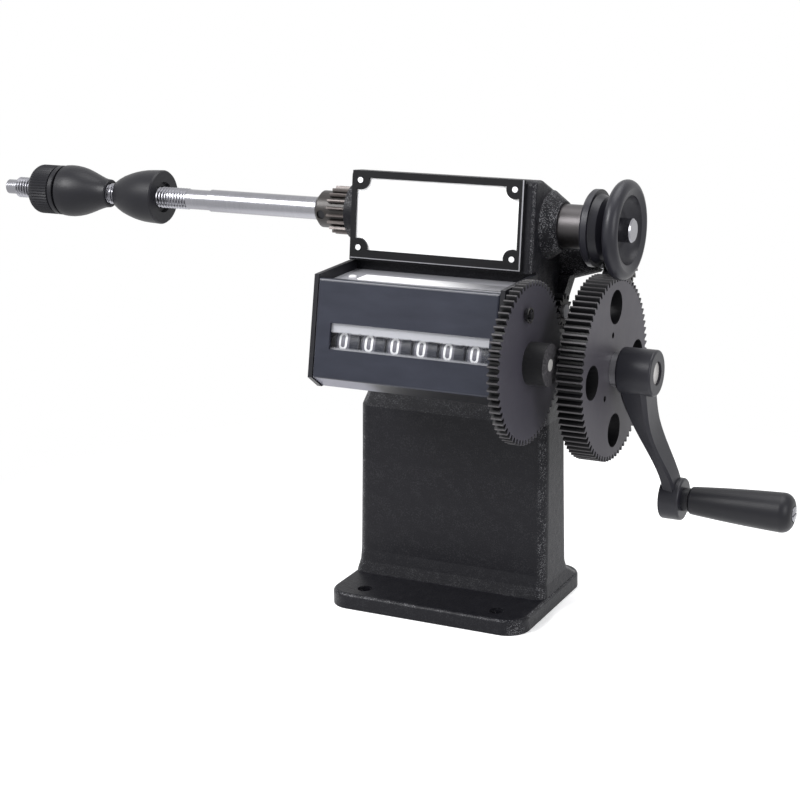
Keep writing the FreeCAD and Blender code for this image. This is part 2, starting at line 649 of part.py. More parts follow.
def casting_bores():
    """The bores for the bushes, shafts and pins, and the screw and rivet holes."""
    shaft = "transfer_shaft / 2"
    bush = "crank_shaft / 2 + bush_wall + seat_gap"
    bores = [
        rod("BoreLeft", "spindle_dia / 2 + bush_wall + seat_gap", "boss_left + end_wall + 2",
            "head_left - boss_left - 1", SPINDLE),
        rod("BoreRight", "collar_dia / 2 + seat_gap", "end_wall + boss_right + 2",
            "head_right - end_wall - 1", SPINDLE),
        rod("BoreCrank", bush, "head_right + low_boss_length - crank_shaft_left + 3",
            "crank_shaft_left - 2", CRANK),
        rod("BoreIdler", "idler_shaft / 2 + run_gap", "end_wall + idler_boss_length + 2",
            "head_right - end_wall - 1", IDLER),
        rod("BoreCounter", shaft + " + run_gap", "end_wall + low_boss_length + 2",
            "head_right - end_wall - 1", COUNT_PINION),
        rod("BoreTransfer", shaft + " + seat_gap", "end_wall - wall + 1",
            "head_right - end_wall - 1", TRANSFER)]
    shank = size("screw_dia") / 2 + size("seat_gap")
    holes = rivet_seats(0)
    for x in SCREW_X:
        for z in COVER_SCREW_Z:
            holes.append(Part.makeCylinder(shank, SCREW_REACH, Vector(x, BACK_Y + 0.5, z),
                                           Vector(0, -1, 0)))
    for x in COUNT_SCREW_X:
        holes.append(Part.makeCylinder(shank, size("wall") + 1, Vector(
            x, CHEST_Y - 0.5, COUNT_SCREW_Z), Vector(0, 1, 0)))
    return bores + [shaped("CastingHoles", Part.makeCompound(holes))]


def stand_casting():
    """The stand with every boss added and every bore cut."""
    body = fused("CastingBody", [shaped("CastingForm", casting_body())] + casting_bosses())
    return cut("Casting", body, fused("CastingBores", casting_bores()))


# The label face leans back; its pieces are made upright and then leaned with it
LEAN = Placement(Vector(0, *FACE_FOOT), Rotation(AXIS_X, -size("face_tilt")))
LABEL_LOW = size("face_height") - size("label_height")


def leaned(shape):
    """Lean an upright shape onto the label face."""
    shape.Placement = LEAN
    return shape


def label_corners():
    """The four rivet centres on the label face, as (x, height)."""
    inset = size("label_inset")
    left = size("label_left") + inset
    right = size("label_left") + size("label_length") - inset
    low = LABEL_LOW + size("label_inset_foot")
    high = LABEL_LOW + size("label_height") - size("label_inset_top")
    return [(x, z) for x in (left, right) for z in (low, high)]


def rivet_seats(proud):
    """A leaned rod for each rivet, from inside the wall to a little proud of the frame."""
    depth = size("wall") * 0.6
    reach = size("label_sheet") + size("label_thick") + proud
    radius = size("rivet_dia") / 2 + (0 if proud else size("seat_gap"))
    rods = []
    for x, z in label_corners():
        rod_shape = Part.makeCylinder(radius, depth + reach, Vector(x, depth, z),
                                      Vector(0, -1, 0))
        rods.append(leaned(rod_shape).copy())
    return rods


def label_slab(thick, front):
    """The outer shape of the label, upright, from its back to its front face."""
    solid = Part.makeBox(size("label_length"), thick, size("label_height"),
                         Vector(size("label_left"), -front, LABEL_LOW))
    for x, z in label_corners():
        solid = solid.cut(Part.makeCylinder(size("rivet_dia") / 2 + size("seat_gap"),
                                            thick + 2, Vector(x, 1 - front + thick, z),
                                            Vector(0, -1, 0)))
    return solid


def label_frame():
    """The raised frame: a border with a round ear at each corner."""
    thick = size("label_thick")
    front = size("label_sheet") + thick
    border = size("label_border")
    foot = size("label_foot")
    window = Part.makeBox(size("label_length") - 2 * border, thick + 2,
                          size("label_height") - size("label_top") - foot,
                          Vector(size("label_left") + border, -front - 1, LABEL_LOW + foot))
    for x, z in label_corners():
        window = window.cut(Part.makeCylinder(size("label_ear"), thick + 4,
                                              Vector(x, 1, z), Vector(0, -1, 0)))
    return leaned(label_slab(thick, front).cut(window))


node("stand_casting", stand_casting())
node("label_plate", shaped("LabelPlate", leaned(label_slab(size("label_sheet"),
                                                           size("label_sheet")))))
node("label_frame", shaped("LabelFrame", label_frame()))
node("label_rivets", shaped("LabelRivets", Part.makeCompound(rivet_seats(0.4))))


def rear_cover():
    """The plate over the open back, with a round bulge over the idler gear."""
    thick = size("cover_thick")
    left = size("head_left") + 0.5
    right = size("head_right") - 0.5
    plate = Part.makeBox(right - left, thick, COVER_HIGH - COVER_LOW,
                         Vector(left, BACK_Y, COVER_LOW))
    plate = rounded(plate, size("cast_edge"), lambda edge: along(edge, Vector(0, 1, 0)))
    inner = tip_radius("idler_gear_teeth") + size("tip_gap")
    bulge_left, bulge_right = size("cover_bulge_left"), size("cover_bulge_right")
    behind = Part.makeBox(right - left, 4 * inner, 4 * inner,
                          Vector(left, BACK_Y, IDLER[1] - 2 * inner))
    bulge = bar(bulge_left, bulge_right, inner + thick, IDLER).common(behind)
    bulge = rounded(bulge, thick * 0.8, lambda edge: isinstance(edge.Curve, Part.Circle))
    hollow = bar(bulge_left + thick, bulge_right - thick, inner, IDLER)
    notch = size("idler_boss") + size("side_gap")
    notch_left = bulge_right - thick - 1
    solid = plate.fuse(bulge).cut(hollow).cut(bar(notch_left, right + 1, notch, IDLER))
    solid = solid.cut(Part.makeBox(right + 1 - notch_left, 2 * notch, 2 * notch, Vector(
        notch_left, IDLER[0] - 2 * notch, IDLER[1] - notch)))
    for x in SCREW_X:
        for z in COVER_SCREW_Z:
            solid = solid.cut(Part.makeCylinder(size("screw_dia") / 2 + size("seat_gap"),
                                                3 * thick, Vector(x, BACK_Y - thick, z),
                                                Vector(0, 1, 0)))
    return solid


def screw(head_at, inward):
    """A pan screw whose head sits on a point, with its shank along a direction."""
    back = inward * -1
    head = Part.makeCylinder(size("screw_head") / 2, size("screw_head_height"), head_at, back)
    head = rounded(head, size("screw_head_height") / 2, lambda edge: isinstance(
        edge.Curve, Part.Circle) and (edge.CenterOfMass - head_at).dot(back) > 1)
    return head


def cover_screws():
    """The four screws of the rear cover."""
    face = BACK_Y + size("cover_thick")
    length = size("cover_thick") + SCREW_REACH - 1
    screws = []
    for x in SCREW_X:
        for z in COVER_SCREW_Z:
            seat = Vector(x, face, z)
            shank = Part.makeCylinder(size("screw_dia") / 2, length, seat, Vector(0, -1, 0))
            screws.append(screw(seat, Vector(0, -1, 0)).fuse(shank))
    return Part.makeCompound(screws)


node("rear_cover", shaped("RearCover", rear_cover()))
node("cover_screws", shaped("CoverScrews", cover_screws()))

# Bushes and fixed pins, concentric with the bores of the casting
node("spindle_bush_left", ring(
    "BushLeft", "spindle_dia / 2 + bush_wall", "spindle_dia / 2 + run_gap",
    "boss_left + end_wall", "head_left - boss_left", SPINDLE))
node("spindle_bush_right", ring(
    "BushRight", "collar_dia / 2", "spindle_dia / 2 + run_gap",
    "end_wall + boss_right + collar_length", "head_right - end_wall", SPINDLE))
node("crank_bush_left", ring(
    "CrankBushLeft", "crank_shaft / 2 + bush_wall", "crank_shaft / 2 + run_gap",
    "end_wall", "crank_bush_left_x", CRANK))
node("crank_bush_right", ring(
    "CrankBushRight", "crank_shaft / 2 + bush_wall", "crank_shaft / 2 + run_gap",
    "end_wall + low_boss_length", "head_right - end_wall", CRANK))
node("transfer_pin", rod(
    "TransferPin", "transfer_shaft / 2", "head_right - wall - 0.2 - transfer_left",
    "transfer_left - side_gap", TRANSFER))


# The spindle and what is fixed on it
def spindle_shaft():
    """The spindle: main stretch, relief, threaded stretch and plain tip."""
    tip, tip_end = size("spindle_tip"), size("spindle_tip") + size("tip_length")
    main, relief = size("spindle_dia") / 2, size("relief_dia") / 2
    thread, plain = size("thread_dia") / 2, size("tip_dia") / 2
    end = size("spindle_end")
    bevel = 0.6
    return turned(outline([
        (tip, 0), (tip, plain - bevel / 2), (tip + bevel / 2, plain), (tip_end, plain),
        (tip_end, thread - bevel), (tip_end + bevel, thread), (size("thread_end"), thread),
        (size("thread_end"), relief), (size("relief_end"), relief),
        (size("relief_end"), main), (end - bevel, main), (end, main - bevel), (end, 0)]),
        SPINDLE)


def outer_pinion(teeth_part):
    """The outer pinion: its hub with a set screw hole, and its teeth."""
    left = size("pinion_hub_left")
    teeth_left = left + size("pinion_hub")
    bevel = size("pinion_hub_bevel")
    hub = turned(outline([
        (left, SPINDLE_SEAT), (left, size("pinion_hub_dia") / 2 - bevel),
        (left + bevel, size("pinion_hub_dia") / 2), (teeth_left, size("pinion_hub_dia") / 2),
        (teeth_left, SPINDLE_SEAT)]), SPINDLE)
    return hub.fuse(teeth_part).cut(set_screw_hole(left + size("pinion_hub") / 2,
                                                   size("pinion_hub_dia") / 2,
                                                   size("pinion_screw_angle")))


def set_screw_hole(x, reach, angle):
    """A radial hole at an angle in degrees, from the spindle out past a hub."""
    lean = math.radians(angle)
    out = Vector(0, math.cos(lean), math.sin(lean))
    return Part.makeCylinder(size("set_screw") / 2 + size("seat_gap"), reach + 2,
                             Vector(x, *SPINDLE), out)


def set_screw(x, reach, angle):
    """A headless screw from the spindle to just below the hub's surface."""
    lean = math.radians(angle)
    out = Vector(0, math.cos(lean), math.sin(lean))
    start = Vector(x, *SPINDLE) + out * (size("spindle_dia") / 2 + size("seat_gap"))
    length = reach - size("spindle_dia") / 2 - 0.8
    return Part.makeCylinder(size("set_screw") / 2, length, start, out)


def pulley():
    """The pulley: rear flange, round groove, and a rounded front rim with a dish."""
    left = size("pulley_left")
    right = size("pulley_right")
    flange, rim = size("pulley_flange"), size("pulley_rim")
    flange_right = left + size("pulley_flange_width")
    throat = flange_right + size("pulley_step_width")
    rim_left = size("rim_left")
    groove = size("pulley_groove")
    half = (right - rim_left) / 2
    shoulder = rim - half
    bevel = size("pulley_flange_width") / 4
    crease = (right - size("dish_lip"), size("dish_radius"))
    dish_floor = (right - size("dish_depth"), size("dish_radius") * 0.55)
    edges = [
        line((left, SPINDLE_SEAT), (left, flange - bevel)),
        line((left, flange - bevel), (left + bevel, flange)),
        line((left + bevel, flange), (flange_right, flange)),
        line((flange_right, flange), (flange_right, size("pulley_step"))),
        line((flange_right, size("pulley_step")), (throat, size("pulley_throat"))),
        line((throat, size("pulley_throat")), (PULLEY_FLOOR - 0.5, groove)),
        line((PULLEY_FLOOR - 0.5, groove), (PULLEY_FLOOR + 0.5, groove)),
        line((PULLEY_FLOOR + 0.5, groove), (rim_left, shoulder)),
        arc((rim_left, shoulder), (rim_left + half, rim), (right, shoulder)),
        line((right, shoulder), crease),
        arc(crease, ((crease[0] + dish_floor[0]) / 2 - 1, (crease[1] + dish_floor[1]) / 2 + 1),
            dish_floor),
        line(dish_floor, (dish_floor[0], SPINDLE_SEAT)),
        line((dish_floor[0], SPINDLE_SEAT), (left, SPINDLE_SEAT))]
    return turned(edges, SPINDLE).cut(set_screw_hole(
        PULLEY_FLOOR, flange, size("pulley_screw_angle")))


SPINDLE_SEAT = size("spindle_dia") / 2 + size("seat_gap")
PINION_TEETH_LEFT = size("pinion_hub_left") + size("pinion_hub")
PULLEY_FLOOR = (size("pulley_left") + size("pulley_flange_width") + size("pulley_step_width")
                + size("rim_left")) / 2
outer_teeth = gear("spindle_teeth", PINION_TEETH_LEFT, size("pinion_width") - size("side_gap"),
                   SPINDLE, 90, SPINDLE_SEAT)
node("spindle", shaped("Spindle", spindle_shaft()))
node("outer_pinion", shaped("OuterPinion", outer_pinion(outer_teeth)))
node("outer_pinion_screw", shaped("OuterPinionScrew", set_screw(
    size("pinion_hub_left") + size("pinion_hub") / 2, size("pinion_hub_dia") / 2,
    size("pinion_screw_angle"))))
node("pulley", shaped("Pulley", pulley()))
node("pulley_screw", shaped("PulleyScrew", set_screw(
    PULLEY_FLOOR, size("pulley_groove"), size("pulley_screw_angle"))))


# Cones and knurled nut on the threaded end
CONE_LEFT = size("nut_left") + size("nut_length") + size("nut_neck") + size("side_gap")
CONE_RIGHT = CONE_LEFT + size("cone_length")
INNER_CONE_LEFT = CONE_RIGHT + size("cone_gap")
INNER_CONE_RIGHT = INNER_CONE_LEFT + size("inner_cone_length")
CONE_BORE = size("thread_dia") / 2 + size("run_gap")


def cone(big_end, small_end):
    """A winding cone: a nearly straight belly that sweeps in to the small end."""
    step = (small_end - big_end) / 10
    big, small = size("cone_dia") / 2, size("cone_tip_dia") / 2
    recess = math.copysign(size("cone_recess"), step)
    belly = (big_end + 3.2 * step, big * 0.97)
    inner_rim = big * 0.62
    edges = [
        line((big_end + recess, CONE_BORE), (big_end + recess, inner_rim - 1)),
        line((big_end + recess, inner_rim - 1), (big_end, inner_rim)),
        line((big_end, inner_rim), (big_end, big - 1)),
        line((big_end, big - 1), (big_end + math.copysign(1, step), big)),
        line((big_end + math.copysign(1, step), big), belly),
        arc(belly, (big_end + 5.6 * step, (big + small) / 2 + 0.4),
            (big_end + 8.2 * step, small + 0.5)),
        line((big_end + 8.2 * step, small + 0.5), (small_end, small)),
        line((small_end, small), (small_end, CONE_BORE)),
        line((small_end, CONE_BORE), (big_end + recess, CONE_BORE))]
    return turned(edges, SPINDLE)


def knurled_nut():
    """The nut: a ribbed barrel with bevelled ends and a neck towards the cone."""
    left = size("nut_left")
    right = left + size("nut_length")
    radius = size("nut_dia") / 2
    depth = size("knurl_depth")
    bevel = 1.0
    barrel = turned(outline([
        (left, CONE_BORE), (left, radius - bevel - depth), (left + bevel, radius),
        (right - bevel, radius), (right, radius - bevel - depth),
        (right, size("neck_dia") / 2), (right + size("nut_neck"), size("neck_dia") / 2),
        (right + size("nut_neck"), CONE_BORE)]), SPINDLE)
    ribs = int(size("nut_ribs"))
    corners = []
    for number in range(2 * ribs):
        reach = radius - depth * (number % 2)
        corners.append(polar(SPINDLE, reach, 180.0 * number / ribs))
    prism = slab(corners, left - 1, right + size("nut_neck") + 1)
    return barrel.common(prism)


node("knurled_nut", shaped("KnurledNut", knurled_nut()))
node("outer_cone", shaped("OuterCone", cone(CONE_LEFT, CONE_RIGHT)))
node("inner_cone", shaped("InnerCone", cone(INNER_CONE_RIGHT, INNER_CONE_LEFT)))

# Gear train: each mesh is a pair, the first with a tooth on the line of centres
IDLER_SEAT = size("idler_shaft") / 2 + size("seat_gap")
TRANSFER_SEAT = size("transfer_shaft") / 2 + size("seat_gap")
TRANSFER_RUN = size("transfer_shaft") / 2 + size("run_gap")
CRANK_SEAT = size("crank_shaft") / 2 + size("seat_gap")
COUNT_SEAT = size("count_shaft") / 2 + size("seat_gap")
COUNT_RUN = size("count_shaft") / 2 + size("run_gap")
INNER_AT = (size("inner_gear_left"), size("inner_gear_width"))
TRANSFER_AT = (size("transfer_left"), size("transfer_width"))
COUNT_AT = (size("count_gear_left"), size("count_gear_width"))

crank_wheel, idler_pinion = gear_pair(
    ("crank_teeth", size("crank_gear_left"), size("crank_gear_width"), CRANK, CRANK_SEAT),
    ("idler_teeth", size("crank_gear_left") + size("idler_pinion_lead"),
     size("crank_gear_width") - size("idler_pinion_lead"), IDLER, IDLER_SEAT))
idler_gear, spindle_pinion = gear_pair(
    ("idler_gear_teeth", *INNER_AT, IDLER, IDLER_SEAT),
    ("spindle_teeth", *INNER_AT, SPINDLE, SPINDLE_SEAT))
first_heading = direction(IDLER, TRANSFER)
second_heading = direction(TRANSFER, COUNT_PINION)
idler_transfer = gear("transfer_teeth", *TRANSFER_AT, IDLER, first_heading, IDLER_SEAT)
transfer_tooth = first_heading + 180 + 180 / size("transfer_teeth")
transfer_gear = gear("transfer_teeth", *TRANSFER_AT, TRANSFER, transfer_tooth, TRANSFER_RUN)
drive_tooth = second_heading + 180 + (180 + (second_heading - transfer_tooth)
                                      * size("transfer_teeth")) / size("drive_teeth")
counter_transfer = gear("drive_teeth", *TRANSFER_AT, COUNT_PINION, drive_tooth, TRANSFER_SEAT)
count_gear, count_pinion = gear_pair(
    ("count_teeth", *COUNT_AT, COUNT, COUNT_SEAT),
    ("count_pinion_teeth", *COUNT_AT, COUNT_PINION, TRANSFER_SEAT))

CRANK_HOLE_START = 90 + size("crank_hole_turn")
PEG_AT = polar(COUNT, size("peg_radius"), size("peg_angle"))
PEG_HOLE = size("peg_dia") / 2 + size("seat_gap")
left, right = size("crank_gear_left") - 1, size("crank_gear_right") + 1
for quarter in range(4):
    crank_wheel = crank_wheel.cut(bar(left, right, size("crank_hole") / 2, polar(
        CRANK, size("crank_hole_radius"), CRANK_HOLE_START + 90 * quarter)))
for number in range(int(size("slot_count"))):
    crank_wheel = crank_wheel.cut(bar(left, right, size("slot_hole") / 2, polar(
        CRANK, size("slot_radius"), size("slot_turn") + 360 / size("slot_count") * number)))

node("inner_pinion", shaped("InnerPinion", spindle_pinion))
node("idler_shaft", rod(
    "IdlerShaft", "idler_shaft / 2",
    "crank_gear_right - inner_gear_left + 2", "inner_gear_left - 1.5", IDLER))
node("idler_pinion", shaped("IdlerPinion", idler_pinion))
node("idler_gear", shaped("IdlerGear", idler_gear))
node("idler_transfer_gear", shaped("IdlerTransfer", idler_transfer))
node("transfer_gear", shaped("TransferGear", transfer_gear))
node("counter_drive_shaft", rod(
    "CounterDriveShaft", "transfer_shaft / 2",
    "count_gear_right - transfer_left + 1", "transfer_left - side_gap",
    COUNT_PINION))
node("counter_transfer_gear", shaped("CounterTransfer", counter_transfer))
node("counter_pinion", shaped("CounterPinion", count_pinion))


# Crank; the arm's section is a flat bar with bevelled corners, in shares of its size
ARM_SECTION = [(-0.75, 0), (0.75, 0), (1, 0.14), (0.9, 0.86), (0.65, 1), (-0.65, 1),
               (-0.9, 0.86), (-1, 0.14)]


def crank_arm():
    """The crank: a hub, an arm that leans back and steps outwards, and a grip boss."""
    edge_round = size("crank_edge")
    hub = rounded(bar(HUB_LEFT, HUB_RIGHT, size("crank_hub") / 2, CRANK), edge_round,
                  lambda edge: isinstance(edge.Curve, Part.Circle))
    boss = rounded(bar(BOSS_LEFT, BOSS_RIGHT, size("grip_boss") / 2, GRIP), edge_round,
                   lambda edge: isinstance(edge.Curve, Part.Circle))

    def section(share, width, x_right, thick):
        """A cross-section of the arm at a share of the throw."""
        centre = polar(CRANK, size("arm_throw") * share, size("arm_lean") - 90)
        side = math.radians(size("arm_lean"))
        across = Vector(0, math.cos(side), math.sin(side)) * (width / 2)
        middle = Vector(x_right, *centre)
        corners = [middle + across * sideways - Vector(thick * back, 0, 0)
                   for sideways, back in ARM_SECTION]
        return Part.makePolygon(corners + corners[:1])

    face = HUB_RIGHT - size("arm_inset")
    step = size("arm_offset")
    thick, root = size("arm_thick"), size("arm_root_thick")
    neck, tail = size("arm_neck"), size("arm_tail")
    arm = Part.makeLoft([
        section(0.05, neck * 1.06, face, root),
        section(0.27, neck * 0.97, face, root * 0.85),
        section(0.46, neck * 0.9, face + step * 0.13, thick * 1.15),
        section(0.73, tail, face + step * 0.93, thick),
        section(0.95, tail * 1.05, face + step * 1.25, thick)], True, False)
    solid = hub.fuse([arm, boss]).removeSplitter()
    solid = solid.cut(bar(HUB_LEFT - 1, HUB_RIGHT + 1, CRANK_SEAT, CRANK))
    return solid.cut(bar(BOSS_LEFT - 1, BOSS_RIGHT + 1,
                         size("grip_pin") / 2 + size("seat_gap"), GRIP))


def grip():
    """The grip: a barrel that swells towards its rounded end."""
    start = GRIP_LEFT
    end = start + size("grip_length")
    small, large = size("grip_small") / 2, size("grip_large") / 2
    bore = size("grip_pin") / 2 + size("run_gap")
    seat = size("grip_screw") / 2 + 0.3
    round_end, shoulder = size("grip_round"), size("grip_shoulder")
    edges = [
        line((start, bore), (start, small - shoulder)),
        arc((start, small - shoulder), (start + shoulder * 0.3, small - shoulder * 0.3),
            (start + shoulder, small)),
        arc((start + shoulder, small), (start + size("grip_length") * 0.5,
                                        (small + large) / 2 + shoulder / 2),
            (end - round_end, large)),
        arc((end - round_end, large), (end - round_end * 0.3, large - round_end * 0.3),
            (end, large - round_end)),
        line((end, large - round_end), (end, seat)),
        line((end, seat), (end - GRIP_SEAT, seat)),
        line((end - GRIP_SEAT, seat), (end - GRIP_SEAT, bore)),
        line((end - GRIP_SEAT, bore), (start, bore))]
    return turned(edges, GRIP)


HUB_LEFT = size("crank_gear_right") + size("crank_washer")
HUB_RIGHT = size("crank_hub_right")
BOSS_RIGHT = HUB_RIGHT + size("arm_offset")
BOSS_LEFT = BOSS_RIGHT - size("grip_boss_length")
GRIP_LEFT = BOSS_RIGHT + size("grip_collar") + size("side_gap")
GRIP_RIGHT = GRIP_LEFT + size("grip_length")
GRIP_SEAT = size("grip_screw_seat")
node("crank_shaft", rod("CrankShaft", "crank_shaft / 2", "crank_hub_right - 1.2 - crank_shaft_left",
                        "crank_shaft_left", CRANK))
node("crank_gear", shaped("CrankGear", crank_wheel))
node("crank_spacer", ring(
    "CrankSpacer", "crank_spacer / 2", "crank_shaft / 2 + seat_gap",
    "crank_gear_left - count_gear_right - 0.5", "count_gear_right + 0.5", CRANK))
node("crank_washer", ring(
    "CrankWasher", "crank_shaft * 0.72", "crank_shaft / 2 + seat_gap", "crank_washer",
    "crank_gear_right", CRANK))
node("crank_arm", shaped("CrankArm", crank_arm()))
node("grip_pin", shaped("GripPin", bar(BOSS_LEFT, GRIP_RIGHT - GRIP_SEAT
                                       + size("side_gap"), size("grip_pin") / 2, GRIP).fuse(
    bar(GRIP_RIGHT - GRIP_SEAT + size("side_gap"), GRIP_RIGHT + size("grip_screw_proud"),
        size("grip_screw") / 2,
        GRIP))))
node("grip_collar", ring("GripCollar", "grip_small / 2 - 0.9", "grip_pin / 2 + seat_gap",
                         "grip_collar", "crank_hub_right + arm_offset", GRIP))
node("grip", shaped("Grip", grip()))


# Turns counter: the pieces are laid out upright about its shaft, then leaned back
COUNT_LEAN = Placement(Vector(0, *COUNT), Rotation(AXIS_X, -size("count_tilt")))
PLATE_TOP = SPINDLE[1] - size("chassis_top")
END_TOP = SPINDLE[1] - size("end_top")
PLATE_LOW = SPINDLE[1] - size("chassis_low")
CARRY_AT = polar((0, 0), size("wheel_radius") + size("carry_radius") + 2 * size("side_gap"),
                 size("carry_angle"))
CARRY_ROD = (COUNT_LEAN.multVec(Vector(0, *CARRY_AT)).y,
             COUNT_LEAN.multVec(Vector(0, *CARRY_AT)).z)


def side_outline(front, back, top, low):
    """The counter's side outline (y, z) from its leaning front to its back."""
    high = COUNT_LEAN.multVec(Vector(0, front, size("panel_above")))
    foot = COUNT_LEAN.multVec(Vector(0, front, -size("panel_below")))
    front_top = foot.y + (high.y - foot.y) * (top - foot.z) / (high.z - foot.z)
    return [(front_top, top), (back, top), (back, low), (foot.y + size("panel_step"), low),
            (foot.y, foot.z)]


def chassis():
    """The folded sheet body: back, top and bottom, open at the front and at the ends."""
    left = size("count_left") + size("end_plate")
    right = size("count_right") - size("end_plate")
    thick = size("sheet_thick")
    front = -size("panel_distance") + thick + size("seat_gap")
    outer = side_outline(front, CHEST_Y, PLATE_TOP, PLATE_LOW)
    inner = side_outline(front, CHEST_Y - thick, PLATE_TOP - thick, PLATE_LOW + thick)
    inner[4] = (inner[4][0], inner[4][1] + 1.2 * thick)
    outside = inner[4][0] - 2 * size("panel_distance")
    inner.append((outside, inner[4][1]))
    inner.append((outside, inner[0][1]))
    solid = slab(outer, left, right).cut(slab(inner, left - 1, right + 1))
    for x in COUNT_SCREW_X:
        solid = solid.cut(Part.makeCylinder(
            size("screw_dia") / 2 + size("seat_gap"), 3 * size("sheet_thick"),
            Vector(x, CHEST_Y - 2 * size("sheet_thick"), COUNT_SCREW_Z), Vector(0, 1, 0)))
    return solid


def panel():
    """The front cover: a sheet with its window and a folded upper lip, leaned back."""
    thick = size("sheet_thick")
    left = size("count_left") + size("end_plate")
    right = size("count_right") - size("end_plate")
    low, high = -size("panel_below"), size("panel_above")
    front = -size("panel_distance")
    solid = Part.makeBox(right - left, thick + size("lip"), high - low, Vector(left, front, low))
    solid = rounded(solid, 1.2, lambda edge: edge.BoundBox.YMax < front + 0.01)
    inside = Part.makeBox(right - left + 2, size("lip") + 1, high - low, Vector(
        left - 1, front + thick, low - thick))
    window = Part.makeBox(size("window_width"), 3 * thick, size("window_height"), Vector(
        size("window_left"), front - thick, size("window_raise") - size("window_height") / 2))
    solid = solid.cut(inside).cut(window)
    solid.Placement = COUNT_LEAN
    return solid


def window_pane():
    """The clear strip behind the window."""
    margin = 2.0
    solid = Part.makeBox(size("window_width") + 2 * margin, size("pane_thick"),
                         size("window_height") + 2 * margin, Vector(
                             size("window_left") - margin,
                             -size("panel_distance") + size("sheet_thick"),
                             size("window_raise") - size("window_height") / 2 - margin))
    solid.Placement = COUNT_LEAN
    return solid


def number_wheel(x, bore):
    """A number wheel: rim, thin web and hub."""
    half = size("wheel_width") / 2
    web = size("wheel_web") / 2
    inner = size("wheel_radius") - 3.0
    return turned(outline([
        (x - half, bore), (x - half, size("wheel_hub")), (x - web, size("wheel_hub")),
        (x - web, inner), (x - half, inner), (x - half, size("wheel_radius") - 0.4),
        (x - half + 0.4, size("wheel_radius")), (x + half - 0.4, size("wheel_radius")),
        (x + half, size("wheel_radius") - 0.4), (x + half, inner), (x + web, inner),
        (x + web, size("wheel_hub")), (x + half, size("wheel_hub")), (x + half, bore)]), COUNT)


def carry_pinions():
    """The five small carry pinions on their rod, one between each pair of wheels."""
    teeth = int(size("carry_teeth"))
    corners = []
    for number in range(4 * teeth):
        reach = size("carry_radius") * (1 if number % 4 < 2 else 0.68)
        corners.append(polar(CARRY_ROD, reach, 90.0 * (number + 0.5) / teeth))
    pinions = []
    for number in range(int(size("wheel_count")) - 1):
        middle = size("wheel_first") + size("wheel_pitch") * (number + 0.5)
        star = slab(corners, middle - size("carry_width") / 2, middle + size("carry_width") / 2)
        pinions.append(star.cut(bar(middle - 5, middle + 5, size("rod_dia") / 2
                                    + size("run_gap"), CARRY_ROD)))
    return Part.makeCompound(pinions)


for side, start in (("left", "count_left"), ("right", "count_right - end_plate")):
    x_left = size("count_left") if side == "left" else size("count_right") - size("end_plate")
    plate = shaped("EndPlate_" + side, slab(side_outline(
        -size("panel_distance"), CHEST_Y, END_TOP, PLATE_LOW), x_left,
        x_left + size("end_plate")))
    holes = fused("EndHoles_" + side, [
        rod("EndShaftHole_" + side, "count_shaft / 2 + run_gap", "end_plate + 2",
            start + " - 1", COUNT),
        rod("EndRodHole_" + side, "rod_dia / 2 + seat_gap", "end_plate + 2",
            start + " - 1", CARRY_ROD)])
    node("counter_end_" + side, cut("CounterEnd_" + side, plate, holes))
node("counter_chassis", shaped("Chassis", chassis()))
node("counter_panel", shaped("Panel", panel()))
node("counter_window", shaped("Window", window_pane()))
screws = []
for x in COUNT_SCREW_X:
    seat = Vector(x, CHEST_Y - size("sheet_thick"), COUNT_SCREW_Z)
    shank = Part.makeCylinder(size("screw_dia") / 2, size("sheet_thick") + size("chest_wall"),
                              seat, Vector(0, 1, 0))
    screws.append(screw(seat, Vector(0, 1, 0)).fuse(shank))
node("counter_screws", shaped("CounterScrews", Part.makeCompound(screws)))
node("carry_rod", rod("CarryRod", "rod_dia / 2", "count_right - count_left", "count_left",
                      CARRY_ROD))
node("carry_pinions", shaped("CarryPinions", carry_pinions()))
node("counter_shaft", rod("CounterShaft", "count_shaft / 2", "knob_end - count_shaft_left",
                          "count_shaft_left", COUNT))
node("counter_gear", shaped("CountGear", count_gear.cut(Part.makeCylinder(
    PEG_HOLE, size("count_gear_width") + 2, Vector(size("count_gear_left") - 1, *PEG_AT),
    AXIS_X))))
clip_left = size("count_gear_right") + 0.6
peg = bar(size("count_gear_left"), size("count_gear_right") + size("peg_length"),
          size("peg_dia") / 2, PEG_AT)
clip = tube(clip_left, clip_left + 0.8, size("peg_dia") / 2 + 1.1, size("peg_dia") / 2 - 0.2,
            PEG_AT)
node("gear_peg", shaped("GearPeg", peg.fuse(clip)))
knob = rod("KnobBody", "knob_dia / 2", "knob_length", "count_gear_right", COUNT)
knob_bore = rod("KnobBore", "count_shaft / 2 + seat_gap", "knob_end - count_gear_left",
                "count_gear_left", COUNT)
node("reset_knob", cut("Knob", knob, knob_bore))
for number in range(int(size("wheel_count"))):
    x = size("wheel_first") + size("wheel_pitch") * (size("wheel_count") - 1 - number)
    bore = COUNT_SEAT if number == 0 else COUNT_RUN
    node("number_wheel_%d" % (number + 1), shaped("Wheel_%d" % (number + 1),
                                                  number_wheel(x, bore)))

doc.recompute()
os.makedirs("parts", exist_ok=True)
for obj in doc.Objects:
    if "Invalid" in obj.State or "Error" in obj.State:
        raise RuntimeError("%s did not build" % obj.Name)
for obj in nodes:
    if obj.Shape.isNull() or not obj.Shape.isValid() or not obj.Shape.Solids:
        raise RuntimeError("%s has no valid solid" % obj.Label)
for obj in nodes:
    obj.Shape.exportStep("parts/%s.step" % obj.Label)
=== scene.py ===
"""Looks of a hand coil winding machine: cast stand, geared spindle, crank and turns counter.

Lengths are metres in the row frame: +X runs along the spindle to the pulley, +Y away from the
operator and +Z up. Every piece sits at the origin with its place in its own mesh.
"""

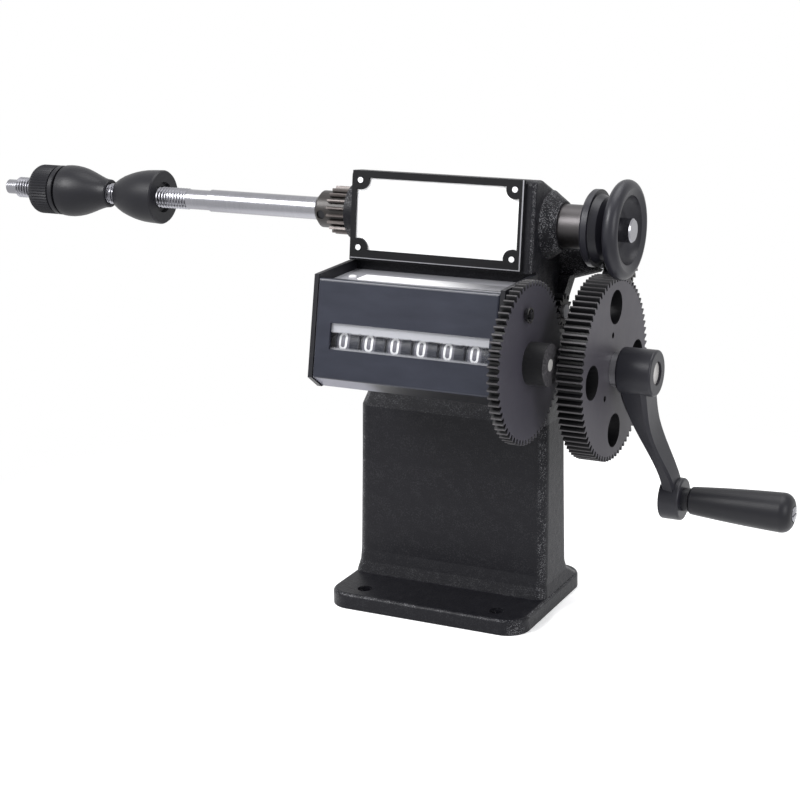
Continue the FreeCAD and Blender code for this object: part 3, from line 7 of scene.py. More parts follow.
import json
import logging
import math
from collections.abc import Iterable, Sequence
from dataclasses import dataclass
from enum import Enum
from typing import Any, Union

import bpy
from mathutils import Matrix, Vector

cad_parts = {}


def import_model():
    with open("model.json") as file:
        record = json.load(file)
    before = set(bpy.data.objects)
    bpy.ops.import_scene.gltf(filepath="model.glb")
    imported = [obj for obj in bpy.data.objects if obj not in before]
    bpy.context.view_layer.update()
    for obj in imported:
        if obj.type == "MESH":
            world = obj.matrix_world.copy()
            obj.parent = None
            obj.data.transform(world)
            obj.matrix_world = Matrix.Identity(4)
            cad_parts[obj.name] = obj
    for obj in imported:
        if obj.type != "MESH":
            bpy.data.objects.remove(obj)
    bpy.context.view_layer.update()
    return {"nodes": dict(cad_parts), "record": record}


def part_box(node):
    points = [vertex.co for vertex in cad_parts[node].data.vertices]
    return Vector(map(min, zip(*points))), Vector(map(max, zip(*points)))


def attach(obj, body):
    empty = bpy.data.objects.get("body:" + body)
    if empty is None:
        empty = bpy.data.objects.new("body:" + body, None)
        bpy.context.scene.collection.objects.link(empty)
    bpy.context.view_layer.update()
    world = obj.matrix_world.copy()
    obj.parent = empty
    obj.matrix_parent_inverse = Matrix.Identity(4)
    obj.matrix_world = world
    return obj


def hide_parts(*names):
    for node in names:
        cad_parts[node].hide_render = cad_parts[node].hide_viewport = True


LOG = logging.getLogger("coil_winder")
MM = 0.001
MERGE_DISTANCE = 1e-6
CLEARANCE = 1.0 * MM
TURNED_TO_X = (0, math.pi / 2, 0)
TURNED_TO_FRONT = (math.pi / 2, 0, 0)
NOISE_MIDDLE = 0.5
WHITE = (1, 1, 1, 1)
FACING_X = (0.75, 0.9)
FACING_Y = (0.5, 0.7)
Colour = tuple[float, float, float]
Span = tuple[float, float]
Outline = tuple[tuple[float, float], ...]
Number = Union[int, float, "Level"]
Source = Union[Colour, bpy.types.NodeSocket]


class Look(Enum):
    """The finishes: first the record's material slots, then what only the looks need."""

    CASTING = "cast_paint"
    LABEL_WHITE = "label_white"
    LABEL_BLACK = "label_black"
    BRIGHT = "bright_steel"
    COLLAR = "brushed_collar"
    BLACKENED = "dark_screw"
    GROUND = "ground_steel"
    WORN = "worn_steel"
    GEAR = "dark_gear"
    CHARCOAL = "dark_metal"
    SATIN = "black_satin"
    COUNTER = "counter_black"
    ZINC = "zinc"
    CLEAR = "clear_window"
    WHEEL = "wheel_black"
    RIVET = "rivet"
    KNOB = "knob"
    BIG_GEAR = "crank_gear_metal"
    COUNT_GEAR = "counter_gear_metal"
    PINION = "pinion_metal"
    # a painted highlight along the counter tray's top
    WHITE_STRIP = "painted_highlight_strip"
    PIN_END = "pin_end"
    STAGE = "stage"
    DIGIT = "digit"


class Level:
    """One grey output of a node tree that is written in plain arithmetic."""

    SPARE_PITCHES = 100

    def __init__(self, nodes: "Nodes", socket: bpy.types.NodeSocket) -> None:
        """Keep the tree and the socket that the value comes from."""
        self.nodes = nodes
        self.socket = socket

    def _with(self, operation: str, first: Number, second: Number) -> "Level":
        """Add a Math node.

        Args:
            operation: name of the Math operation.
            first: first value.
            second: second value.

        Returns:
            The result as a new level.
        """
        node = self.nodes.node("ShaderNodeMath", {"operation": operation},
                               {0: first, 1: second})
        return Level(self.nodes, node.outputs[0])

    def __add__(self, other: Number) -> "Level":
        """Sum of this level and another."""
        return self._with("ADD", self, other)

    def __radd__(self, other: Number) -> "Level":
        """Sum of a number and this level."""
        return self._with("ADD", other, self)

    def __sub__(self, other: Number) -> "Level":
        """This level less another."""
        return self._with("SUBTRACT", self, other)

    def __rsub__(self, other: Number) -> "Level":
        """A number less this level."""
        return self._with("SUBTRACT", other, self)

    def __mul__(self, other: Number) -> "Level":
        """Product of this level and another."""
        return self._with("MULTIPLY", self, other)

    def __rmul__(self, other: Number) -> "Level":
        """Product of a number and this level."""
        return self._with("MULTIPLY", other, self)

    def largest(self, other: Number) -> "Level":
        """The larger of this level and another."""
        return self._with("MAXIMUM", self, other)

    def plain(self) -> "Level":
        """This level without its sign."""
        return self._with("ABSOLUTE", self, 0.0)

    def from_nearest(self, pitch: float) -> "Level":
        """How far this level is from the nearest multiple of a pitch, from nought up."""
        return self._with("PINGPONG", self + self.SPARE_PITCHES * pitch, pitch / 2)

    def clamp(self) -> "Level":
        """This level held between nought and one."""
        return self._with("MINIMUM", self._with("MAXIMUM", self, 0.0), 1.0)


class Nodes:
    """A node tree, emptied first, to which nodes are added one by one."""

    def __init__(self, tree: bpy.types.NodeTree) -> None:
        """Empty a tree."""
        self.tree = tree
        self.tree.nodes.clear()

    def feed(self, socket: bpy.types.NodeSocket, value: Any) -> None:
        """Give an input socket its value.

        Args:
            socket: the input.
            value: a number, a colour, a level or another node's output.
        """
        if isinstance(value, Level):
            value = value.socket
        if isinstance(value, bpy.types.NodeSocket):
            self.tree.links.new(value, socket)
        else:
            socket.default_value = value

    def node(self, kind: str, settings: dict[str, Any],
             inputs: dict[Union[int, str], Any]) -> bpy.types.Node:
        """Add any node.

        Args:
            kind: the node's type name.
            settings: its properties, which are set first.
            inputs: values or links of its sockets, by name or number.

        Returns:
            The node.
        """
        node = self.tree.nodes.new(kind)
        for name, value in settings.items():
            setattr(node, name, value)
        for name, value in inputs.items():
            self.feed(node.inputs[name], value)
        return node


class Paint(Nodes):
    """A material whose nodes are added one by one around a Principled shader."""

    def __init__(self, look: Look) -> None:
        """Start a material with its shader, its output and its coordinates.

        Args:
            look: the finish that it is for.
        """
        self.material = bpy.data.materials.new(look.value)
        self.material.use_nodes = True
        super().__init__(self.material.node_tree)
        self.shader = self.node("ShaderNodeBsdfPrincipled", {}, {})
        self.out = self.node("ShaderNodeOutputMaterial", {},
                             {"Surface": self.shader.outputs[0]})
        coordinates = self.node("ShaderNodeTexCoord", {}, {})
        self.place = coordinates.outputs["Object"]
        self.normal = coordinates.outputs["Normal"]

    def put(self, name: str, value: Any) -> None:
        """Set one of the shader's own sockets to a value or a link."""
        self.feed(self.shader.inputs[name], value)

    def stretched(self, scale: Sequence[float],
                  centre: Sequence[float] = (0, 0, 0)) -> bpy.types.NodeSocket:
        """Object coordinates about a centre, scaled unevenly.

        Args:
            scale: factors along X, Y and Z.
            centre: the point that becomes nought.

        Returns:
            The coordinates' output.
        """
        moved = self.node("ShaderNodeVectorMath", {"operation": "SUBTRACT"},
                          {0: self.place, 1: tuple(centre)})
        return self.node("ShaderNodeVectorMath", {"operation": "MULTIPLY"},
                         {0: moved.outputs[0], 1: tuple(scale)}).outputs[0]

    def grain(self, size: float, detail: float = 3.0, rough: float = 0.6,
              place: Union[bpy.types.NodeSocket, None] = None) -> Level:
        """Soft noise whose blobs are about a size across.

        Args:
            size: blob size in metres.
            detail: octaves of finer noise.
            rough: strength of the finer octaves.
            place: coordinates, or the object's own.

        Returns:
            The noise, about nought to one.
        """
        node = self.node("ShaderNodeTexNoise", {},
                         {"Vector": place or self.place, "Scale": 1.0 / size,
                          "Detail": detail, "Roughness": rough})
        return Level(self, node.outputs[0])

    def between(self, factor: Level, low: Source, high: Source) -> bpy.types.NodeSocket:
        """A colour that runs from one to another.

        Args:
            factor: nought for the first and one for the second.
            low: the first colour, or a link.
            high: the second colour, or a link.

        Returns:
            The colour's output.
        """
        ends = [end if isinstance(end, bpy.types.NodeSocket) else (*end, 1.0)
                for end in (low, high)]
        node = self.node("ShaderNodeMix", {"data_type": "RGBA"},
                         {0: factor, 6: ends[0], 7: ends[1]})
        return node.outputs[2]

    def step(self, value: Level, start: float, end: float) -> Level:
        """A smooth step of a value.

        Args:
            value: the level.
            start: where the step is nought.
            end: where it is one.

        Returns:
            The step as a level.
        """
        node = self.node("ShaderNodeMapRange", {"interpolation_type": "SMOOTHSTEP"},
                         {0: value, 1: start, 2: end, 3: 0.0, 4: 1.0})
        return Level(self, node.outputs[0])

    def along(self, axis: str) -> Level:
        """One of the object's coordinates."""
        split = self.node("ShaderNodeSeparateXYZ", {}, {0: self.place})
        return Level(self, split.outputs[axis])

    def faces(self) -> tuple[Level, Level, Level]:
        """How squarely the surface faces along X, Y and Z, either way.

        Returns:
            Three levels, each one where the surface is square to its axis.
        """
        split = self.node("ShaderNodeSeparateXYZ", {}, {0: self.normal})
        x, y, z = (Level(self, output).plain() for output in split.outputs)
        return x, y, z

    def ends(self) -> Level:
        """One on the faces that are square to X."""
        return self.step(self.faces()[0], *FACING_X)

    def fronts(self) -> Level:
        """One on the faces that are square to Y."""
        return self.step(self.faces()[1], *FACING_Y)

    def length(self, vector: bpy.types.NodeSocket) -> Level:
        """How long a vector is."""
        node = self.node("ShaderNodeVectorMath", {"operation": "LENGTH"}, {0: vector})
        return Level(self, node.outputs["Value"])

    def outward(self, axis: Sequence[float]) -> tuple[bpy.types.NodeSocket, Level]:
        """Direction and distance from an axis along X.

        Args:
            axis: (y, z) of the axis.

        Returns:
            The direction's output and the distance.
        """
        flat = self.stretched((0, 1, 1), (0, *axis))
        way = self.node("ShaderNodeVectorMath", {"operation": "NORMALIZE"}, {0: flat})
        return way.outputs[0], self.length(flat)

    def bump(self, height: Level, depth: float, strength: float = 1.0) -> None:
        """Feed the shader's normal from a height.

        Args:
            height: the height, nought to one.
            depth: metres at one.
            strength: share of the bump that is shown.
        """
        node = self.node("ShaderNodeBump", {},
                         {"Height": height, "Distance": depth, "Strength": strength})
        self.put("Normal", node.outputs[0])


@dataclass(frozen=True)
class Finish:
    """A plain finish: one colour with a little mottling, smears in its gloss and a grain."""

    look: Look
    colour: Colour
    roughness: float
    metallic: float = 0.0
    mottle: float = 0.12
    grain: float = 0.0
    grain_size: float = 0.6 * MM
    specular: float = 0.5
    mottle_size: float = 18.0 * MM
    smear: float = 0.12
    smear_size: float = 7.0 * MM

    def make(self) -> bpy.types.Material:
        """Build the material, with the values that are the same all over first.

        Returns:
            The finished material.
        """
        paint = Paint(self.look)
        paint.put("Metallic", self.metallic)
        paint.put("Specular IOR Level", self.specular)
        paint.put("Roughness", self.roughness)
        self.lay(paint)
        return paint.material

    def mottled(self, paint: Paint, factor: Level) -> bpy.types.NodeSocket:
        """The colour, a little darker or lighter.

        Args:
            paint: the paint that it is for.
            factor: nought for darker and one for lighter.

        Returns:
            The colour's output.
        """
        low = tuple(c * (1 - self.mottle) for c in self.colour)
        high = tuple(min(1.0, c * (1 + self.mottle)) for c in self.colour)
        return paint.between(factor, low, high)

    def lay(self, paint: Paint) -> None:
        """Lay the finish on.

        Args:
            paint: the paint that takes it.
        """
        paint.put("Base Color", self.mottled(paint, paint.grain(self.mottle_size, detail=4.0)))
        smears = paint.grain(self.smear_size)
        paint.put("Roughness", (smears - NOISE_MIDDLE) * self.smear + self.roughness)
        if self.grain:
            paint.bump(paint.grain(self.grain_size), self.grain)


@dataclass(frozen=True)
class CastPaint(Finish):
    """Black paint over a sand casting: sandy along its edges and on the right shoulder, with pale
    specks there that paint highlights.

    Heights are for skin, lumps and the shoulder's skin. The shares of the pale specks, which paint
    highlights, are for edges, shoulder and the rest.
    """

    skin_size: float = 0.9 * MM
    skin_rough: float = 0.62
    lump_size: float = 4.2 * MM
    sand_size: float = 0.38 * MM
    sand_rough: float = 0.5
    heights: tuple[float, float, float] = (0.5, 0.7, 1.2)
    pits: float = 0.3 * MM
    pit_strength: float = 0.8
    rounding: Span = (0.015, 0.16)
    shoulder_x: Span = (46.5 * MM, 47.5 * MM)
    shoulder_z: Span = (130.0 * MM, 150.0 * MM)
    cluster: float = 0.6
    specks: Span = (0.58, 0.72)
    # pale colour of the specks that paint highlights
    dust: Colour = (0.15, 0.15, 0.16)
    dust_shares: tuple[float, float, float] = (0.6, 0.3, 0.06)
    skin_dullness: float = 0.2
    shoulder_dullness: float = 0.15

    def lay(self, paint: Paint) -> None:
        """Lay the finish on.

        Args:
            paint: the paint that takes it.
        """
        skin = paint.grain(self.skin_size, detail=4.0, rough=self.skin_rough)
        lumps = paint.grain(self.lump_size)
        sand = paint.grain(self.sand_size, detail=0.0, rough=self.sand_rough)
        x, y, z = paint.faces()
        edge = paint.step(1.0 - x.largest(y).largest(z), *self.rounding)
        shoulder = (paint.step(paint.along("X"), *self.shoulder_x)
                    * paint.step(paint.along("Z"), *self.shoulder_z))
        # pale specks painted as highlights: mostly on edges, some on the shoulder, a few elsewhere
        speck = paint.step(sand + (lumps - NOISE_MIDDLE) * self.cluster, *self.specks)
        on_edge, on_shoulder, elsewhere = self.dust_shares
        highlight_amount = (edge * on_edge + shoulder * on_shoulder + elsewhere).clamp()
        fine, coarse, sandy = self.heights
        paint.bump(skin * fine + lumps * coarse + shoulder * skin * sandy,
                   self.pits, self.pit_strength)
        paint.put("Base Color", paint.between(speck * highlight_amount, self.colour, self.dust))
        dullness = skin * self.skin_dullness + self.roughness - self.skin_dullness / 2
        paint.put("Roughness", (dullness + shoulder * self.shoulder_dullness).clamp())


@dataclass(frozen=True)
class EdgedSheet(Finish):
    """Painted sheet with thin paler lines along the edges whose places are given: painted
    highlights where the rounded edges catch the light.
    """

    smear: float = 0.2
    smear_size: float = 6.0 * MM
    smear_stretch: tuple[float, float, float] = (0.3, 1.0, 1.0)
    skin_size: float = 0.8 * MM
    skin_depth: float = 0.02 * MM
    # colour of the painted highlight lines
    edge: Colour = (0.3, 0.3, 0.32)
    edge_share: float = 0.8
    width: float = 0.5 * MM
    full_width: float = 0.6
    left: float = -1.0
    right: float = 1.0
    bottom: float = -1.0
    top: float = 1.0

    def lay(self, paint: Paint) -> None:
        """Lay the finish on.

        Args:
            paint: the paint that takes it.
        """
        across, up = paint.along("X"), paint.along("Z")
        inside = [self.right - across, across - self.left, self.top - up, up - self.bottom]
        lines = [1.0 - paint.step(gap, self.full_width * self.width, self.width)
                 for gap in inside]
        line = lines[0].largest(lines[1]).largest(lines[2]).largest(lines[3])
        smears = paint.grain(self.smear_size, detail=4.0, place=paint.stretched(self.smear_stretch))
        # the paler lines along the given edges paint highlights on the front faces
        paint.put("Base Color", paint.between(line * paint.fronts() * self.edge_share,
                                              self.mottled(paint, smears), self.edge))
        paint.put("Roughness",
                  ((smears - NOISE_MIDDLE) * self.smear + self.roughness).clamp())
        paint.bump(paint.grain(self.skin_size, detail=2.0), self.skin_depth)


@dataclass(frozen=True)
class PrintedPlate(Finish):
    """The label's plate: its front as given, its thin edges black."""

    mottle_size: float = 10.0 * MM
    mottle_rough: float = 0.55
    edge: Colour = (0.006, 0.006, 0.007)

    def lay(self, paint: Paint) -> None:
        """Lay the finish on.

        Args:
            paint: the paint that takes it.
        """
        white = self.mottled(paint, paint.grain(self.mottle_size, rough=self.mottle_rough))
        paint.put("Base Color", paint.between(paint.fronts(), self.edge, white))


@dataclass(frozen=True)
class TurnedSteel(Finish):
    """Steel from a lathe: fine rings across X and a little wear."""

    ring: float = 0.45 * MM
    ring_depth: float = 0.008 * MM
    ring_break: float = 30.0
    ring_share: float = 0.6
    ring_dullness: float = 0.08
    wear_size: float = 9.0 * MM
    wear_share: float = 0.4
    wear_dullness: float = 0.06
    darkest: float = 0.8
    palest: float = 1.15

    def lay(self, paint: Paint) -> None:
        """Lay the finish on.

        Args:
            paint: the paint that takes it.
        """
        place = paint.stretched((1 / self.ring, self.ring_break, self.ring_break))
        rings = paint.grain(1.0, detail=2.0, place=place)
        wear = paint.grain(self.wear_size, detail=4.0)
        low = tuple(c * self.darkest for c in self.colour)
        high = tuple(min(1.0, c * self.palest) for c in self.colour)
        paint.put("Base Color", paint.between(
            (rings * self.ring_share + wear * self.wear_share).clamp(), low, high))
        smoothest = self.roughness - (self.ring_dullness + self.wear_dullness) / 2
        paint.put("Roughness", (smoothest + rings * self.ring_dullness
                                + wear * self.wear_dullness).clamp())
        paint.bump(rings, self.ring_depth)


@dataclass(frozen=True)
class GearMetal(Finish):
    """Gear metal: satin end faces, dark flanks, and tooth tips rubbed at the tip radius.

    The axis is (y, z) of the gear, and the rub is a least share and what the grain adds.
    """

    patch_size: float = 6.0 * MM
    patch_rough: float = 0.65
    patch_share: float = 0.6
    patch_dullness: float = 0.14
    fine_size: float = 0.7 * MM
    fine_share: float = 0.4
    fine_depth: float = 0.02 * MM
    flank: Colour = (0.012, 0.012, 0.014)
    rub: Colour = (0.2, 0.19, 0.2)
    rub_share: Span = (0.35, 0.6)
    axis: Span = (0.0, 0.0)
    tip: float = 1.0
    crest: float = 0.35 * MM
    crest_end: float = 0.05 * MM

    def lay(self, paint: Paint) -> None:
        """Lay the finish on.

        Args:
            paint: the paint that takes it.
        """
        patch = paint.grain(self.patch_size, detail=4.0, rough=self.patch_rough)
        fine = paint.grain(self.fine_size, detail=2.0)
        reach = paint.outward(self.axis)[1]
        crest = paint.step(reach, self.tip - self.crest, self.tip - self.crest_end)
        satin = self.mottled(paint,
                             (patch * self.patch_share + fine * self.fine_share).clamp())
        body = paint.between(paint.ends(), self.flank, satin)
        least, added = self.rub_share
        paint.put("Base Color", paint.between(crest * (fine * added + least), body, self.rub))
        paint.put("Roughness", (self.roughness + patch * self.patch_dullness
                                - self.patch_dullness / 2).clamp())
        paint.bump(fine, self.fine_depth)


@dataclass(frozen=True)
class SpeckledFace(Finish):
    """Black knob whose end face is speckled grey in fine spokes.

    Shares are for spokes, fine grain and rings, and face shares for specks, ground and rim.
    """

    face: Colour = (0.065, 0.062, 0.067)
    axis: Span = (-42.0 * MM, 123.0 * MM)
    spoke_size: float = 0.09
    fine_size: float = 0.6 * MM
    fine_depth: float = 0.06 * MM
    ring_size: float = 1.2 * MM
    rough: float = 0.7
    shares: tuple[float, float, float] = (0.45, 0.35, 0.2)
    specks: Span = (0.42, 0.6)
    rim: Span = (8.2 * MM, 8.7 * MM)
    face_shares: tuple[float, float, float] = (0.8, 0.2, 0.1)

    def lay(self, paint: Paint) -> None:
        """Lay the finish on.

        Args:
            paint: the paint that takes it.
        """
        way, reach = paint.outward(self.axis)
        spokes = paint.grain(self.spoke_size, detail=3.0, rough=self.rough, place=way)
        fine = paint.grain(self.fine_size, detail=2.0, rough=self.rough)
        rings = paint.grain(self.ring_size, detail=2.0, place=paint.stretched((0, 1, 1)))
        of_spokes, of_fine, of_rings = self.shares
        speck = paint.step(spokes * of_spokes + fine * of_fine + rings * of_rings,
                           *self.specks)
        rim = paint.step(reach, *self.rim)
        of_specks, of_ground, of_rim = self.face_shares
        pale = paint.ends() * (speck * of_specks + of_ground - rim * of_rim)
        paint.put("Base Color", paint.between(pale, self.colour, self.face))
        paint.bump(fine, self.fine_depth)


@dataclass(frozen=True)
class WheelBands(Finish):
    """Number wheels: a paler band under the digits and a dark field beside it."""

    band: Colour = (0.13, 0.13, 0.155)
    middle: float = 35.05 * MM
    pitch: float = 11.95 * MM
    band_edge: Span = (2.4 * MM, 3.3 * MM)
    haze: float = 0.3
    haze_size: float = 2.0 * MM

    def lay(self, paint: Paint) -> None:
        """Lay the finish on.

        Args:
            paint: the paint that takes it.
        """
        away = (paint.along("X") - self.middle).from_nearest(self.pitch)
        dark = paint.step(away, *self.band_edge)
        haze = (paint.grain(self.haze_size) - NOISE_MIDDLE) * self.haze
        paint.put("Base Color", paint.between((dark + haze).clamp(), self.band, self.colour))


@dataclass(frozen=True)
class ClearStrip(Finish):
    """The clear strip behind the window, pale and opaque along its top and bottom to paint
    highlight bands there.

    Cover is how much the pale layer hides at the top and at the bottom, where it paints highlights,
    and all over, where it is the plastic's haze.
    """

    top: float = 131.1 * MM
    bottom: float = 125.6 * MM
    fade: float = 0.9 * MM
    waver: float = 1.0 * MM
    haze_size: float = 1.6 * MM
    cover: tuple[float, float, float] = (0.78, 0.5, 0.06)

    def lay(self, paint: Paint) -> None:
        """Lay the finish on.

        Args:
            paint: the paint that takes it.
        """
        up = paint.along("Z")
        haze = paint.grain(self.haze_size)
        # painted highlight bands: the strip turns pale and opaque along its top and bottom
        top_highlight_band = paint.step(up + (haze - NOISE_MIDDLE) * self.waver,
                           self.top, self.top + self.fade)
        bottom_highlight_band = 1.0 - paint.step(up, self.bottom - self.fade, self.bottom)
        at_top, at_bottom, all_over = self.cover
        paint.put("Base Color", (*self.colour, 1.0))
        paint.put("Alpha", (top_highlight_band * at_top + bottom_highlight_band * at_bottom + haze * all_over).clamp())


@dataclass(frozen=True)
class TraySheet(Finish):
    """Zinc sheet of the counter's tray: grey on top, with painted shade where it tucks under: dark
    along the top's front edge and on the lower lip to the right.
    """

    mottle_size: float = 6.0 * MM
    lip: Colour = (0.12, 0.12, 0.15)
    # colour of the painted shade
    dark: Colour = (0.008, 0.008, 0.01)
    front_y: Span = (-41.5 * MM, -40.0 * MM)
    under_z: Span = (116.0 * MM, 120.0 * MM)
    right_x: Span = (-15.0 * MM, -5.0 * MM)

    def lay(self, paint: Paint) -> None:
        """Lay the finish on.

        Args:
            paint: the paint that takes it.
        """
        # painted shade: the front edge of the top and the right of the lower lip are dark
        front = 1.0 - paint.step(paint.along("Y"), *self.front_y)
        under = 1.0 - paint.step(paint.along("Z"), *self.under_z)
        right = paint.step(paint.along("X"), *self.right_x)
        sheet = self.mottled(paint, paint.grain(self.mottle_size, detail=4.0))
        top = paint.between(front, sheet, self.dark)
        lip = paint.between(right, self.lip, self.dark)
        paint.put("Base Color", paint.between(under, top, lip))


@dataclass(frozen=True)
class FadedStrip(Finish):
    """A white strip that paints a highlight, greying towards its right end where the highlight
    fades.
    """

    smear: float = 0.1
    smear_size: float = 5.0 * MM
    far: Colour = (0.14, 0.14, 0.15)
    fade_x: Span = (-8.0 * MM, 36.0 * MM)

    def lay(self, paint: Paint) -> None:
        """Lay the finish on.

        Args:
            paint: the paint that takes it.
        """
        along = paint.step(paint.along("X"), *self.fade_x)
        smears = (paint.grain(self.smear_size) - NOISE_MIDDLE) * self.smear
        paint.put("Base Color", paint.between((along + smears).clamp(), self.colour, self.far))


CRANK_AXIS = (-3.0 * MM, 113.0 * MM)
COUNTER_AXIS = (-42.0 * MM, 123.0 * MM)
SPINDLE_AXIS = (-3.0 * MM, 172.0 * MM)
NEAR_BLACK = (0.006, 0.006, 0.007)
DULL_RUB = (0.07, 0.066, 0.07)

FINISHES: tuple[Finish, ...] = (
    CastPaint(Look.CASTING, (0.006, 0.006, 0.0082), 0.42, specular=0.15),
    PrintedPlate(Look.LABEL_WHITE, (0.93, 0.93, 0.93), 0.5, mottle=0.01),
    EdgedSheet(Look.LABEL_BLACK, NEAR_BLACK, 0.42, mottle=0.2, specular=0.15,
               right=42.4 * MM, bottom=156.6 * MM, width=0.45 * MM),
    TurnedSteel(Look.BRIGHT, (0.3, 0.3, 0.325), 0.24, 1.0),
    TurnedSteel(Look.COLLAR, (0.07, 0.066, 0.068), 0.4, 1.0),
    Finish(Look.BLACKENED, (0.03, 0.03, 0.033), 0.36, 0.8),
    TurnedSteel(Look.GROUND, (0.4, 0.4, 0.42), 0.3, 1.0),
    GearMetal(Look.WORN, (0.035, 0.032, 0.03), 0.42, 0.6, mottle=0.3),
    GearMetal(Look.GEAR, (0.06, 0.056, 0.066), 0.48, 0.3, mottle=0.2),
    GearMetal(Look.BIG_GEAR, (0.044, 0.041, 0.05), 0.46, 0.2, mottle=0.16, specular=0.3,
              flank=NEAR_BLACK, rub=DULL_RUB, axis=CRANK_AXIS, tip=39.0 * MM),
    GearMetal(Look.COUNT_GEAR, (0.034, 0.032, 0.042), 0.5, 0.1, mottle=0.16, specular=0.25,
              flank=NEAR_BLACK, rub=DULL_RUB, axis=COUNTER_AXIS, tip=33.5 * MM),
    GearMetal(Look.PINION, (0.04, 0.037, 0.036), 0.4, 0.4, mottle=0.3,
              flank=(0.022, 0.019, 0.018), rub=(0.15, 0.128, 0.122), axis=SPINDLE_AXIS,
              tip=10.5 * MM, crest=1.5 * MM),
    Finish(Look.CHARCOAL, (0.012, 0.012, 0.0165), 0.38, 0.1, specular=0.3,
           grain=0.02 * MM, grain_size=0.9 * MM),
    Finish(Look.SATIN, (0.009, 0.009, 0.0115), 0.4, specular=0.2,
           grain=0.02 * MM, grain_size=0.7 * MM),
    EdgedSheet(Look.COUNTER, (0.016, 0.018, 0.028), 0.36, mottle=0.3, specular=0.25,
               left=-36.0 * MM, top=153.1 * MM),
    TraySheet(Look.ZINC, (0.26, 0.26, 0.28), 0.42, 0.1, mottle=0.1, specular=0.3),
    ClearStrip(Look.CLEAR, (0.38, 0.385, 0.41), 0.3, specular=0.15),
    WheelBands(Look.WHEEL, (0.01, 0.012, 0.021), 0.35, specular=0.2),
    Finish(Look.PIN_END, (0.42, 0.41, 0.4), 0.35, 0.2, mottle=0.15),
    Finish(Look.DIGIT, (0.85, 0.86, 0.88), 0.45, mottle=0.02),
    Finish(Look.RIVET, (0.8, 0.8, 0.82), 0.3, 0.2, mottle=0.02),
    SpeckledFace(Look.KNOB, (0.008, 0.008, 0.009), 0.5, specular=0.2),
    FadedStrip(Look.WHITE_STRIP, (0.95, 0.95, 0.96), 0.4),
)

SPECIAL_LOOKS: dict[str, Look] = {
    "label_rivets": Look.RIVET, "reset_knob": Look.KNOB, "crank_gear": Look.BIG_GEAR,
    "counter_gear": Look.COUNT_GEAR, "outer_pinion": Look.PINION, "grip_collar": Look.SATIN,
    "gear_peg": Look.BLACKENED, "crank_washer": Look.GROUND,
    "counter_shaft": Look.PIN_END, "crank_shaft": Look.PIN_END,
    "outer_pinion_screw": Look.BLACKENED, "counter_end_left": Look.SATIN,
    "counter_end_right": Look.SATIN,
}


